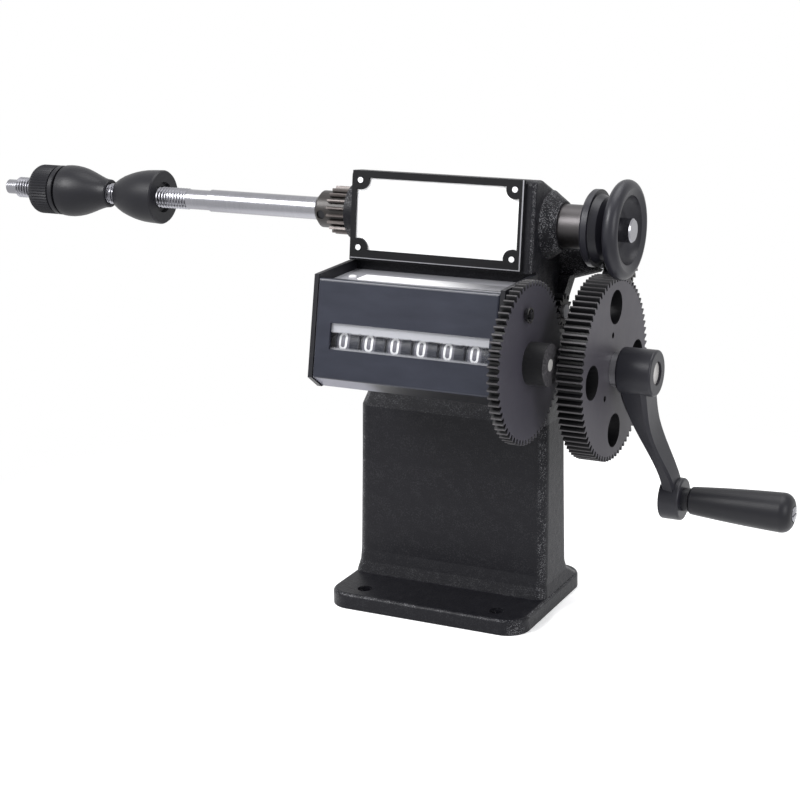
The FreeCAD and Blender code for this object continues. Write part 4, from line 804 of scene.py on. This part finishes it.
class Shop:
    """Tools that act on one mesh at a time, and the materials in use."""

    def __init__(self) -> None:
        """Make every finish once."""
        self.materials = {finish.look: finish.make() for finish in FINISHES}

    def clear(self) -> None:
        """Leave edit mode and deselect everything."""
        if bpy.context.object and bpy.context.object.mode != "OBJECT":
            bpy.ops.object.mode_set(mode="OBJECT")
        bpy.ops.object.select_all(action="DESELECT")

    def pick(self, piece: bpy.types.Object) -> None:
        """Select one piece alone and make it the active one.

        Args:
            piece: the object.
        """
        self.clear()
        piece.select_set(True)
        bpy.context.view_layer.objects.active = piece

    def place_applied(self) -> bpy.types.Object:
        """Move the new object's place into its mesh and return the object."""
        bpy.ops.object.transform_apply(location=True, rotation=True, scale=True)
        return bpy.context.object

    def wear(self, piece: bpy.types.Object, look: Look) -> None:
        """Give a piece one finish."""
        piece.data.materials.clear()
        piece.data.materials.append(self.materials[look])

    def settle(self, piece: bpy.types.Object, name: str, look: Look, body: str,
               angle: float = 32.0, slot: str = "") -> None:
        """Apply a piece's place, smooth it and put it on its body.

        Args:
            piece: the mesh object.
            name: its name.
            look: its finish.
            body: the moving body that it rides on.
            angle: edges sharper than this stay sharp, in degrees.
            slot: the record's material slot, where it isn't the finish's own name; not used.
        """
        self.pick(piece)
        piece.name = name
        for modifier in list(piece.modifiers):
            bpy.ops.object.modifier_apply(modifier=modifier.name)
        self.place_applied()
        bpy.ops.object.mode_set(mode="EDIT")
        bpy.ops.mesh.select_all(action="SELECT")
        bpy.ops.mesh.remove_doubles(threshold=MERGE_DISTANCE)
        bpy.ops.mesh.normals_make_consistent(inside=False)
        bpy.ops.object.mode_set(mode="OBJECT")
        bpy.ops.object.shade_smooth_by_angle(angle=math.radians(angle))
        self.wear(piece, look)
        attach(piece, body)
        LOG.info("%s: %d faces on %s", name, len(piece.data.polygons), body)

    def lathe(self, axis: Sequence[float], stations: Sequence[tuple[float, float]],
              sides: int = 64) -> bpy.types.Object:
        """Turn a solid along X by extruding a disc from station to station.

        Args:
            axis: (y, z) of the axis.
            stations: (x, radius) from left to right.
            sides: sides of the disc.

        Returns:
            The closed mesh object.
        """
        self.clear()
        x, radius = stations[0]
        bpy.ops.mesh.primitive_circle_add(vertices=sides, radius=radius, fill_type="NGON",
                                          location=(x, *axis), rotation=TURNED_TO_X)
        piece = self.place_applied()
        bpy.ops.object.mode_set(mode="EDIT")
        bpy.ops.mesh.select_all(action="SELECT")
        for next_x, next_radius in stations[1:]:
            bpy.ops.mesh.extrude_region_move(
                TRANSFORM_OT_translate={"value": (next_x - x, 0, 0)})
            ratio = next_radius / radius
            bpy.ops.transform.resize(value=(1, ratio, ratio),
                                     center_override=(next_x, *axis))
            x, radius = next_x, next_radius
        bpy.ops.object.mode_set(mode="OBJECT")
        return piece

    def slab(self, low: Sequence[float], high: Sequence[float]) -> bpy.types.Object:
        """A box between two corners.

        Args:
            low: its lowest corner.
            high: its highest corner.

        Returns:
            The mesh object.
        """
        self.clear()
        centre = [(a + b) / 2 for a, b in zip(low, high)]
        bpy.ops.mesh.primitive_cube_add(size=1, location=centre)
        bpy.context.object.scale = [b - a for a, b in zip(low, high)]
        return self.place_applied()

    def cut_away(self, piece: bpy.types.Object, cutter: bpy.types.Object) -> None:
        """Take a cutter's shape out of a piece and delete the cutter.

        Args:
            piece: the mesh that is cut.
            cutter: the shape that is taken out.
        """
        self.pick(piece)
        difference = piece.modifiers.new("cut", "BOOLEAN")
        difference.operation = "DIFFERENCE"
        difference.solver = "EXACT"
        difference.object = cutter
        bpy.ops.object.modifier_apply(modifier=difference.name)
        bpy.data.objects.remove(cutter)

    def bevelled(self, piece: bpy.types.Object, width: float, segments: int = 2) -> None:
        """Add a bevel that settle applies.

        Args:
            piece: the mesh object.
            width: the bevel's width.
            segments: its steps.
        """
        bevel = piece.modifiers.new("edges", "BEVEL")
        bevel.width = width
        bevel.segments = segments
        bevel.limit_method = "ANGLE"

    def joined(self, pieces: Iterable[bpy.types.Object]) -> bpy.types.Object:
        """Join meshes into the first of them.

        Args:
            pieces: the mesh objects.

        Returns:
            The first of them, with all their faces.
        """
        first, *others = pieces
        self.pick(first)
        for piece in others:
            piece.select_set(True)
        bpy.ops.object.join()
        return first

    def copied(self, piece: bpy.types.Object, matrix: Matrix) -> bpy.types.Object:
        """A copy with its own mesh, moved by a matrix that is applied.

        Args:
            piece: the mesh object to copy.
            matrix: where the copy goes.

        Returns:
            The copy.
        """
        twin = piece.copy()
        twin.data = piece.data.copy()
        bpy.context.collection.objects.link(twin)
        twin.data.transform(matrix)
        return twin


def axis_of(low: Vector, high: Vector) -> tuple[float, float]:
    """The (y, z) of the axis along X through the middle of a box."""
    return (low.y + high.y) / 2, (low.z + high.z) / 2


@dataclass
class Spindle:
    """The spindle with the ridges of its thread.

    A ridge is where it starts, is full, starts to fall and ends, in shares of the pitch.
    """

    shop: Shop
    left: float = -232.3 * MM
    tip_radius: float = 3.4 * MM
    tip_length: float = 6.1 * MM
    thread_radius: float = 4.8 * MM
    thread_root: float = 4.1 * MM
    thread_length: float = 102.1 * MM
    pitch: float = 1.5 * MM
    ridge: tuple[float, float, float, float] = (0.1, 0.45, 0.6, 0.95)
    relief_radius: float = 4.5 * MM
    relief_length: float = 11.8 * MM
    shoulder: float = 0.1 * MM
    radius: float = 5.0 * MM
    bevel: float = 0.6 * MM
    sides: int = 48
    sharp_angle: float = 24.0

    def build(self) -> None:
        """Turn the spindle and let it stand for the plain one."""
        low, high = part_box("spindle")
        left, right = self.left, high.x
        thread_left = left + self.tip_length
        thread_right = left + self.thread_length
        relief_right = thread_right + self.relief_length
        stations = [(left, self.tip_radius - self.bevel / 2),
                    (left + self.bevel / 2, self.tip_radius), (thread_left, self.tip_radius)]
        radii = (self.thread_root, self.thread_radius, self.thread_radius, self.thread_root)
        for turn in range(int((thread_right - thread_left) / self.pitch)):
            start = thread_left + turn * self.pitch
            stations += [(start + share * self.pitch, radius)
                         for share, radius in zip(self.ridge, radii)]
        stations += [(thread_right, self.relief_radius), (relief_right, self.relief_radius),
                     (relief_right + self.shoulder, self.radius),
                     (right - self.bevel, self.radius), (right, self.radius - self.bevel)]
        piece = self.shop.lathe(axis_of(low, high), stations, self.sides)
        self.shop.settle(piece, "threaded_spindle", Look.BRIGHT, "spindle", self.sharp_angle)
        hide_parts("spindle")


@dataclass
class WindingCones:
    """The knurled nut and the two cones, placed as in the photograph.

    Each outline is a row of (x, radius) in millimetres from left to right, and so are the
    knurl's left and right ends.
    """

    shop: Shop
    axis: Span = SPINDLE_AXIS
    bore: float = 4.95 * MM
    bore_sides: int = 48
    ribs: int = 52
    rib_depth: float = 0.45 * MM
    rib_left: float = -213.4
    rib_right: float = -202.9
    knurl_radius: float = 11.45 * MM
    knurl_core: float = 10.0 * MM
    knurl_angle: float = 14.0
    nut: Outline = (
        (-214.1, 9.5), (-213.5, 10.6), (-212.7, 11.2), (-211.8, 11.45), (-203.0, 11.45),
        (-202.8, 10.7), (-202.1, 10.7), (-201.9, 11.5), (-200.2, 11.5), (-199.9, 11.2),
        (-199.89, 8.0), (-198.8, 8.0))
    outer: Outline = (
        (-198.7, 11.3), (-198.2, 11.8), (-196.0, 11.95), (-193.7, 11.9), (-191.0, 11.55),
        (-188.1, 10.9), (-185.4, 10.0), (-182.7, 8.95), (-180.2, 7.95), (-177.8, 7.1),
        (-176.0, 6.65), (-174.0, 6.45), (-173.5, 6.0))
    inner: Outline = (
        (-169.2, 5.9), (-168.9, 6.4), (-167.2, 7.5), (-164.5, 8.9), (-161.2, 10.1),
        (-158.5, 10.9), (-156.0, 11.45), (-153.5, 11.85), (-151.0, 12.05), (-148.0, 12.2),
        (-145.2, 12.3), (-144.5, 11.8))
    cone_sides: int = 96
    recess_radius: float = 7.2 * MM
    recess_depth: float = 1.6 * MM
    recess_taper: float = 0.6 * MM

    def turned(self, outline: Outline, sides: int) -> bpy.types.Object:
        """Turn an outline in millimetres about the spindle's axis."""
        stations = [(x * MM, radius * MM) for x, radius in outline]
        return self.shop.lathe(self.axis, stations, sides)

    def bored(self, piece: bpy.types.Object, outline: Outline) -> bpy.types.Object:
        """Bore a piece through for the spindle.

        Args:
            piece: the turned piece.
            outline: the outline that it was turned to.

        Returns:
            The same piece.
        """
        left, right = outline[0][0] * MM - CLEARANCE, outline[-1][0] * MM + CLEARANCE
        self.shop.cut_away(piece, self.shop.lathe(
            self.axis, [(left, self.bore), (right, self.bore)], self.bore_sides))
        return piece

    def knurl(self, piece: bpy.types.Object) -> None:
        """Press every second line of corners inwards over the knurled length.

        Args:
            piece: the nut, turned with two sides to a rib.
        """
        self.shop.pick(piece)
        bpy.ops.object.mode_set(mode="EDIT")
        bpy.ops.mesh.select_all(action="DESELECT")
        bpy.ops.object.mode_set(mode="OBJECT")
        step = math.pi / self.ribs
        for corner in piece.data.vertices:
            y, z = corner.co.y - self.axis[0], corner.co.z - self.axis[1]
            inside = self.rib_left * MM < corner.co.x < self.rib_right * MM
            odd = round(math.atan2(z, y) / step) % 2 == 1
            corner.select = inside and odd and math.hypot(y, z) > self.knurl_core
        bpy.ops.object.mode_set(mode="EDIT")
        ratio = 1 - self.rib_depth / self.knurl_radius
        bpy.ops.transform.resize(value=(1, ratio, ratio), center_override=(0, *self.axis))
        bpy.ops.object.mode_set(mode="OBJECT")

    def build(self) -> None:
        """Turn the nut and the cones and let them stand for the plain ones."""
        nut = self.turned(self.nut, 2 * self.ribs)
        self.knurl(nut)
        self.bored(nut, self.nut)
        self.shop.settle(nut, "ribbed_nut", Look.SATIN, "knurled_nut", self.knurl_angle)
        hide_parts("knurled_nut")
        outer = self.bored(self.turned(self.outer, self.cone_sides), self.outer)
        self.shop.settle(outer, "outer_winding_cone", Look.SATIN, "outer_cone")
        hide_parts("outer_cone")
        inner = self.bored(self.turned(self.inner, self.cone_sides), self.inner)
        right = self.inner[-1][0] * MM
        self.shop.cut_away(inner, self.shop.lathe(
            self.axis, [(right - self.recess_depth, self.recess_radius - self.recess_taper),
                        (right + CLEARANCE, self.recess_radius)]))
        self.shop.settle(inner, "inner_winding_cone", Look.SATIN, "inner_cone")
        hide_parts("inner_cone")


@dataclass
class NumberWheels:
    """The digits round each number wheel, white on black, ten to a wheel."""

    shop: Shop
    shown: tuple[int, ...] = (0, 0, 0, 0, 0, 0)
    digits: int = 10
    digit_height: float = 7.0 * MM
    nought_width: float = 3.8 * MM
    nought_sides: int = 32
    stroke: float = 0.95 * MM
    letter_share: float = 0.73
    letter_steps: int = 5
    digit_squeeze: float = 0.62
    digit_swell: float = 0.28 * MM
    digit_shift: float = -1.7 * MM
    stand_off: float = 2.0 * MM
    window_turn: float = 20.0
    lift: float = 0.02 * MM
    thickness: float = 0.05 * MM
    strips: int = 6
    drum_width: float = 20.0 * MM
    drum_sides: int = 180

    def digit(self, value: int, axis: Sequence[float], radius: float) -> bpy.types.Object:
        """One flat digit in front of a wheel whose middle is at X 0.

        Args:
            value: the digit.
            axis: (y, z) of the wheels' shaft.
            radius: the wheel's radius.

        Returns:
            The digit's mesh object, in level strips.
        """
        centre = Vector((self.digit_shift, axis[0] - radius - self.stand_off, axis[1]))
        if value == 0:
            return self.sliced(self.nought(centre), axis)
        self.shop.clear()
        bpy.ops.object.text_add(location=centre, rotation=TURNED_TO_FRONT)
        text = bpy.context.object
        text.data.body = str(value)
        text.data.align_x = "CENTER"
        text.data.align_y = "CENTER"
        text.data.size = self.digit_height / self.letter_share
        text.data.resolution_u = self.letter_steps
        text.data.offset = self.digit_swell
        text.scale = (self.digit_squeeze, 1, 1)
        bpy.ops.object.convert(target="MESH")
        return self.sliced(self.shop.place_applied(), axis)

    def sliced(self, piece: bpy.types.Object, axis: Sequence[float]) -> bpy.types.Object:
        """Cut a flat digit into level strips so that it can bend round the wheel.

        Args:
            piece: the flat digit.
            axis: (y, z) of the wheels' shaft.

        Returns:
            The same object.
        """
        self.shop.pick(piece)
        bpy.ops.object.mode_set(mode="EDIT")
        for strip in range(1, self.strips):
            level = axis[1] + self.digit_height * (strip / self.strips - 0.5)
            bpy.ops.mesh.select_all(action="SELECT")
            bpy.ops.mesh.bisect(plane_co=(0, axis[0], level), plane_no=(0, 0, 1))
        bpy.ops.object.mode_set(mode="OBJECT")
        return piece

    def nought(self, centre: Vector) -> bpy.types.Object:
        """The nought: a round ended loop with a steady stroke.

        Args:
            centre: its middle.

        Returns:
            The flat mesh object.
        """
        self.shop.clear()
        bpy.ops.mesh.primitive_circle_add(vertices=self.nought_sides,
                                          radius=self.nought_width / 2, fill_type="NGON",
                                          location=centre, rotation=TURNED_TO_FRONT)
        piece = self.shop.place_applied()
        rise = (self.digit_height - self.nought_width) / 2
        for corner in piece.data.vertices:
            if abs(corner.co.z - centre.z) > MERGE_DISTANCE:
                corner.co.z += math.copysign(rise, corner.co.z - centre.z)
        bpy.ops.object.mode_set(mode="EDIT")
        bpy.ops.mesh.select_mode(type="FACE")
        bpy.ops.mesh.select_all(action="SELECT")
        bpy.ops.mesh.inset(thickness=self.stroke)
        bpy.ops.mesh.delete(type="FACE")
        bpy.ops.object.mode_set(mode="OBJECT")
        return piece

    def hugged(self, piece: bpy.types.Object, drum: bpy.types.Object) -> bpy.types.Object:
        """Bend a flat digit round a drum and give it its thickness.

        Args:
            piece: the flat digit.
            drum: a drum of the wheel's radius.

        Returns:
            The same object.
        """
        self.shop.pick(piece)
        wrap = piece.modifiers.new("hug", "SHRINKWRAP")
        wrap.target = drum
        wrap.wrap_method = "PROJECT"
        wrap.use_project_y = True
        wrap.use_positive_direction = True
        wrap.use_negative_direction = False
        wrap.offset = self.lift
        wall = piece.modifiers.new("wall", "SOLIDIFY")
        wall.thickness = self.thickness
        wall.offset = 0
        for modifier in list(piece.modifiers):
            bpy.ops.object.modifier_apply(modifier=modifier.name)
        return piece

    def build(self) -> None:
        """Make the ten digits once and give each wheel its own copies."""
        low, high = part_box("number_wheel_1")
        axis = axis_of(low, high)
        radius = (high.z - low.z) / 2
        self.shop.clear()
        bpy.ops.mesh.primitive_cylinder_add(vertices=self.drum_sides, radius=radius,
                                            depth=self.drum_width, location=(0, *axis),
                                            rotation=TURNED_TO_X)
        drum = self.shop.place_applied()
        masters = [self.hugged(self.digit(value, axis, radius), drum)
                   for value in range(self.digits)]
        centre = Vector((0, *axis))
        for place, value in enumerate(self.shown):
            wheel = len(self.shown) - place
            low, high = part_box(f"number_wheel_{wheel}")
            shift = Matrix.Translation(((low.x + high.x) / 2, 0, 0))
            copies = []
            for number, master in enumerate(masters):
                turn = self.window_turn - 360.0 / self.digits * (value - number)
                spin = Matrix.Rotation(-math.radians(turn), 4, "X")
                about = Matrix.Translation(centre) @ spin @ Matrix.Translation(-centre)
                copies.append(self.shop.copied(master, shift @ about))
            ring = self.shop.joined(copies)
            body = "counter" if wheel == 1 else f"wheel_{wheel}"
            self.shop.settle(ring, f"digits_{wheel}", Look.DIGIT, body, slot="wheel_black")
        for piece in masters + [drum]:
            bpy.data.objects.remove(piece)


@dataclass
class Fasteners:
    """The slotted heads that stand for the plain ones, and the spring clip."""

    shop: Shop
    slot_width: float = 0.9 * MM
    slot_depth: float = 0.5 * MM
    slot_reach: float = 5.0 * MM
    grip_radius: float = 3.0 * MM
    grip_bevel: float = 0.4 * MM
    grip_head: float = 0.9 * MM
    grip_step: float = 0.01 * MM
    grip_crown: float = 0.35 * MM
    grip_crown_step: float = 0.6 * MM
    clip_inset: float = 1.1 * MM
    clip_radius: float = 2.9 * MM
    clip_wire: float = 0.4 * MM
    clip_rings: tuple[int, int] = (40, 8)
    clip_gap: tuple[float, float, float] = (2.0 * MM, 4.0 * MM, 1.0 * MM)
    cover_radius: float = 3.5 * MM
    cover_heights: tuple[float, float, float] = (1.2 * MM, 2.0 * MM, 2.4 * MM)
    cover_shares: tuple[float, float, float] = (1.0, 0.86, 0.5)
    cover_sides: int = 40
    cover_turns: tuple[float, ...] = (12.0, 70.0, -25.0, 48.0)

    def slotted(self, head: bpy.types.Object, axis: Sequence[float], top: float) -> None:
        """Cut a level slot across a head that faces along X.

        Args:
            head: the head.
            axis: (y, z) of its middle.
            top: X of its outer face.
        """
        y, z = axis
        self.shop.cut_away(head, self.shop.slab(
            (top - self.slot_depth, y - self.slot_reach, z - self.slot_width / 2),
            (top + CLEARANCE, y + self.slot_reach, z + self.slot_width / 2)))

    def grip_pin(self) -> None:
        """The pin that the grip turns on, with its slotted head."""
        low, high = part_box("grip_pin")
        axis = axis_of(low, high)
        head = (high.y - low.y) / 2
        seat = high.x - self.grip_head
        pin = self.shop.lathe(axis, [(low.x, self.grip_radius - self.grip_bevel),
                                     (low.x + self.grip_bevel, self.grip_radius),
                                     (seat, self.grip_radius), (seat + self.grip_step, head),
                                     (high.x - self.grip_crown, head),
                                     (high.x, head - self.grip_crown_step)])
        self.slotted(pin, axis, high.x)
        self.shop.settle(pin, "slotted_grip_pin", Look.BRIGHT, "crank")
        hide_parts("grip_pin")

    def peg_clip(self) -> None:
        """The spring clip on the peg of the counter's gear."""
        low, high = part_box("gear_peg")
        place = Vector((high.x - self.clip_inset, *axis_of(low, high)))
        self.shop.clear()
        bpy.ops.mesh.primitive_torus_add(location=place, rotation=TURNED_TO_X,
                                         major_segments=self.clip_rings[0],
                                         minor_segments=self.clip_rings[1],
                                         major_radius=self.clip_radius,
                                         minor_radius=self.clip_wire)
        clip = self.shop.place_applied()
        deep, wide, tall = self.clip_gap
        self.shop.cut_away(clip, self.shop.slab(place - Vector((deep, wide, tall)),
                                                place + Vector((deep, 0, tall))))
        self.shop.settle(clip, "peg_clip", Look.WORN, "counter")

    def cover_screws(self) -> None:
        """The four slotted screws of the rear cover."""
        low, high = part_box("cover_screws")
        radius, top = self.cover_radius, self.cover_heights[-1]
        stations = [(0, radius)] + [(height, radius * share) for height, share
                                    in zip(self.cover_heights, self.cover_shares)]
        centres = [(x, z) for x in (low.x + radius, high.x - radius)
                   for z in (low.z + radius, high.z - radius)]
        heads = []
        for (x, z), turn in zip(centres, self.cover_turns):
            head = self.shop.lathe((0, 0), stations, self.cover_sides)
            self.slotted(head, (0, 0), top)
            place = Matrix.Translation((x, high.y - top, z)) @ Matrix.Rotation(
                math.pi / 2, 4, "Z")
            head.data.transform(place @ Matrix.Rotation(math.radians(turn), 4, "X"))
            heads.append(head)
        piece = self.shop.joined(heads)
        self.shop.settle(piece, "cover_screw_heads", Look.BLACKENED, "stand")
        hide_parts("cover_screws")

    def build(self) -> None:
        """Make every detailed fastener."""
        self.grip_pin()
        self.peg_clip()
        self.cover_screws()


@dataclass
class TrayTop:
    """The white strip that paints a highlight along the tray's top, and the small screw on top of
    the counter's tray.
    """

    shop: Shop
    left: float = -25.5 * MM
    right: float = 43.0 * MM
    back: float = -31.0 * MM
    front: float = -39.5 * MM
    thickness: float = 0.5 * MM
    sunk: float = 0.1 * MM
    bevel: float = 0.2 * MM
    screw: Span = (-29.5 * MM, -36.0 * MM)
    screw_radius: float = 1.7 * MM
    screw_height: float = 0.9 * MM
    screw_sunk: float = 0.2 * MM
    screw_crown: float = 0.6
    screw_sides: int = 32

    def build(self) -> None:
        """Lay the painted highlight strip on the tray and set the screw beside it."""
        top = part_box("counter_chassis")[1].z
        # a pale strip laid on the tray where its top shows a highlight
        strip = self.shop.slab((self.left, self.front, top - self.sunk),
                               (self.right, self.back, top + self.thickness))
        self.shop.bevelled(strip, self.bevel)
        self.shop.settle(strip, "tray_highlight_strip", Look.WHITE_STRIP, "stand", slot="zinc")
        head = self.shop.lathe((0, 0), [
            (-self.screw_sunk, self.screw_radius),
            (self.screw_crown * self.screw_height, self.screw_radius),
            (self.screw_height, self.screw_crown * self.screw_radius)], self.screw_sides)
        head.data.transform(Matrix.Translation((*self.screw, top))
                            @ Matrix.Rotation(-math.pi / 2, 4, "Y"))
        self.shop.settle(head, "tray_screw", Look.RIVET, "stand", slot="bright_steel")


@dataclass(frozen=True)
class Softbox:
    """A square area light, with its side in metres and its power in watts."""

    name: str
    place: tuple[float, float, float]
    side: float
    power: float


@dataclass
class Studio:
    """The photograph's camera, a pale floor and soft light."""

    frame_pixels: float = 800.0
    focal_pixels: float = 1900.0
    azimuth: float = 27.0
    elevation: float = 16.0
    roll: float = -1.2
    anchor: tuple[float, float, float] = (-83.0 * MM, -3.0 * MM, 172.0 * MM)
    anchor_pixel: tuple[float, float] = (280.0, 205.5)
    anchor_distance: float = 844.4 * MM
    sensor: float = 36.0
    near: float = 10.0 * MM
    glow: float = 0.4
    glow_colour: tuple[float, float, float, float] = (0.95, 0.96, 1.0, 1.0)
    floor_side: float = 8.0
    floor_drop: float = 0.2 * MM
    floor_grey: float = 0.95
    floor_roughness: float = 0.9
    floor_specular: float = 0.1
    floor_glow: float = 0.3
    floor_fade: Span = (0.13, 0.30)
    aim: tuple[float, float, float] = (0.0, 0.0, 0.11)
    softboxes: tuple[Softbox, ...] = (
        Softbox("key", (-0.55, -0.75, 0.85), 0.5, 15.0),
        Softbox("top", (0.1, 0.15, 1.1), 0.8, 9.0),
        Softbox("side", (0.95, -0.35, 0.45), 0.5, 4.8))

    def camera(self) -> None:
        """Set the camera where the photograph was taken from."""
        turn, lift, roll = (math.radians(angle) for angle in
                            (self.azimuth, self.elevation, self.roll))
        ahead = Vector((-math.sin(turn) * math.cos(lift), math.cos(turn) * math.cos(lift),
                        -math.sin(lift)))
        level = Vector((math.cos(turn), math.sin(turn), 0))
        upright = level.cross(ahead)
        right = level * math.cos(roll) + upright * math.sin(roll)
        up = upright * math.cos(roll) - level * math.sin(roll)
        middle = self.frame_pixels / 2
        ray = (ahead + right * ((self.anchor_pixel[0] - middle) / self.focal_pixels)
               - up * ((self.anchor_pixel[1] - middle) / self.focal_pixels))
        bpy.ops.object.camera_add()
        camera = bpy.context.object
        rotation = Matrix((right, up, -ahead)).transposed().to_4x4()
        camera.matrix_world = Matrix.Translation(
            Vector(self.anchor) - ray * self.anchor_distance) @ rotation
        camera.data.sensor_width = self.sensor
        camera.data.lens = self.focal_pixels / self.frame_pixels * self.sensor
        camera.data.clip_start = self.near
        bpy.context.scene.camera = camera

    def light(self, softbox: Softbox) -> None:
        """Add a softbox that faces the middle of the machine.

        Args:
            softbox: the light.
        """
        bpy.ops.object.light_add(type="AREA", location=softbox.place)
        lamp = bpy.context.object
        lamp.name = softbox.name
        lamp.data.size = softbox.side
        lamp.data.energy = softbox.power
        lamp.rotation_euler = (Vector(self.aim) - Vector(softbox.place)).to_track_quat(
            "-Z", "Y").to_euler()

    def seen(self, nodes: Nodes) -> Level:
        """One for the rays that show the background, straight, in metal or through glass.

        Args:
            nodes: the tree that it is for.

        Returns:
            The level.
        """
        path = nodes.node("ShaderNodeLightPath", {}, {})
        rays = [Level(nodes, path.outputs[name]) for name in
                ("Is Camera Ray", "Is Glossy Ray", "Is Transmission Ray")]
        return rays[0].largest(rays[1]).largest(rays[2])

    def surroundings(self) -> None:
        """A white backdrop for what is seen and a softer one for the light."""
        world = bpy.data.worlds.new("studio")
        world.use_nodes = True
        nodes = Nodes(world.node_tree)
        white = nodes.node("ShaderNodeBackground", {}, {"Color": WHITE})
        glow = nodes.node("ShaderNodeBackground", {}, {"Color": self.glow_colour,
                                                       "Strength": self.glow})
        mix = nodes.node("ShaderNodeMixShader", {}, {0: self.seen(nodes), 1: glow.outputs[0],
                                                     2: white.outputs[0]})
        nodes.node("ShaderNodeOutputWorld", {}, {"Surface": mix.outputs[0]})
        bpy.context.scene.world = world

    def floor(self) -> None:
        """A pale bench top that turns plain white away from the base."""
        bpy.ops.mesh.primitive_plane_add(size=self.floor_side,
                                         location=(0, 0, -self.floor_drop))
        plane = bpy.context.object
        plane.name = "floor"
        paint = Paint(Look.STAGE)
        paint.put("Base Color", (self.floor_grey, self.floor_grey, self.floor_grey, 1))
        paint.put("Roughness", self.floor_roughness)
        paint.put("Specular IOR Level", self.floor_specular)
        paint.put("Emission Color", WHITE)
        paint.put("Emission Strength", self.floor_glow)
        far = paint.step(paint.length(paint.stretched((1, 1, 0))), *self.floor_fade)
        white = paint.node("ShaderNodeEmission", {}, {"Strength": 1.0})
        mix = paint.node("ShaderNodeMixShader", {}, {0: far * self.seen(paint),
                                                     1: paint.shader.outputs[0],
                                                     2: white.outputs[0]})
        paint.feed(paint.out.inputs["Surface"], mix.outputs[0])
        plane.data.materials.append(paint.material)

    def build(self) -> None:
        """Place the camera, the floor, the backdrop and the lights."""
        self.camera()
        self.floor()
        self.surroundings()
        bpy.context.scene.view_settings.view_transform = "Standard"
        for softbox in self.softboxes:
            self.light(softbox)


def dress(frame: dict[str, Any], shop: Shop) -> None:
    """Give every CAD node the finish of its slot in the record.

    Args:
        shop: the shop with the materials.
    """
    slots = {part["node"]: part["material_slot"] for part in frame["record"]["subparts"]}
    for name, node in frame["nodes"].items():
        shop.wear(node, SPECIAL_LOOKS.get(name, Look(slots[name])))
        LOG.info("%s wears %s", name, slots[name])


def main() -> None:
    """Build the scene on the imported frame."""
    logging.basicConfig(level=logging.INFO)
    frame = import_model()
    shop = Shop()
    dress(frame, shop)
    Spindle(shop).build()
    WindingCones(shop).build()
    NumberWheels(shop).build()
    Fasteners(shop).build()
    TrayTop(shop).build()
    Studio().build()


if __name__ == "__main__":
    main()
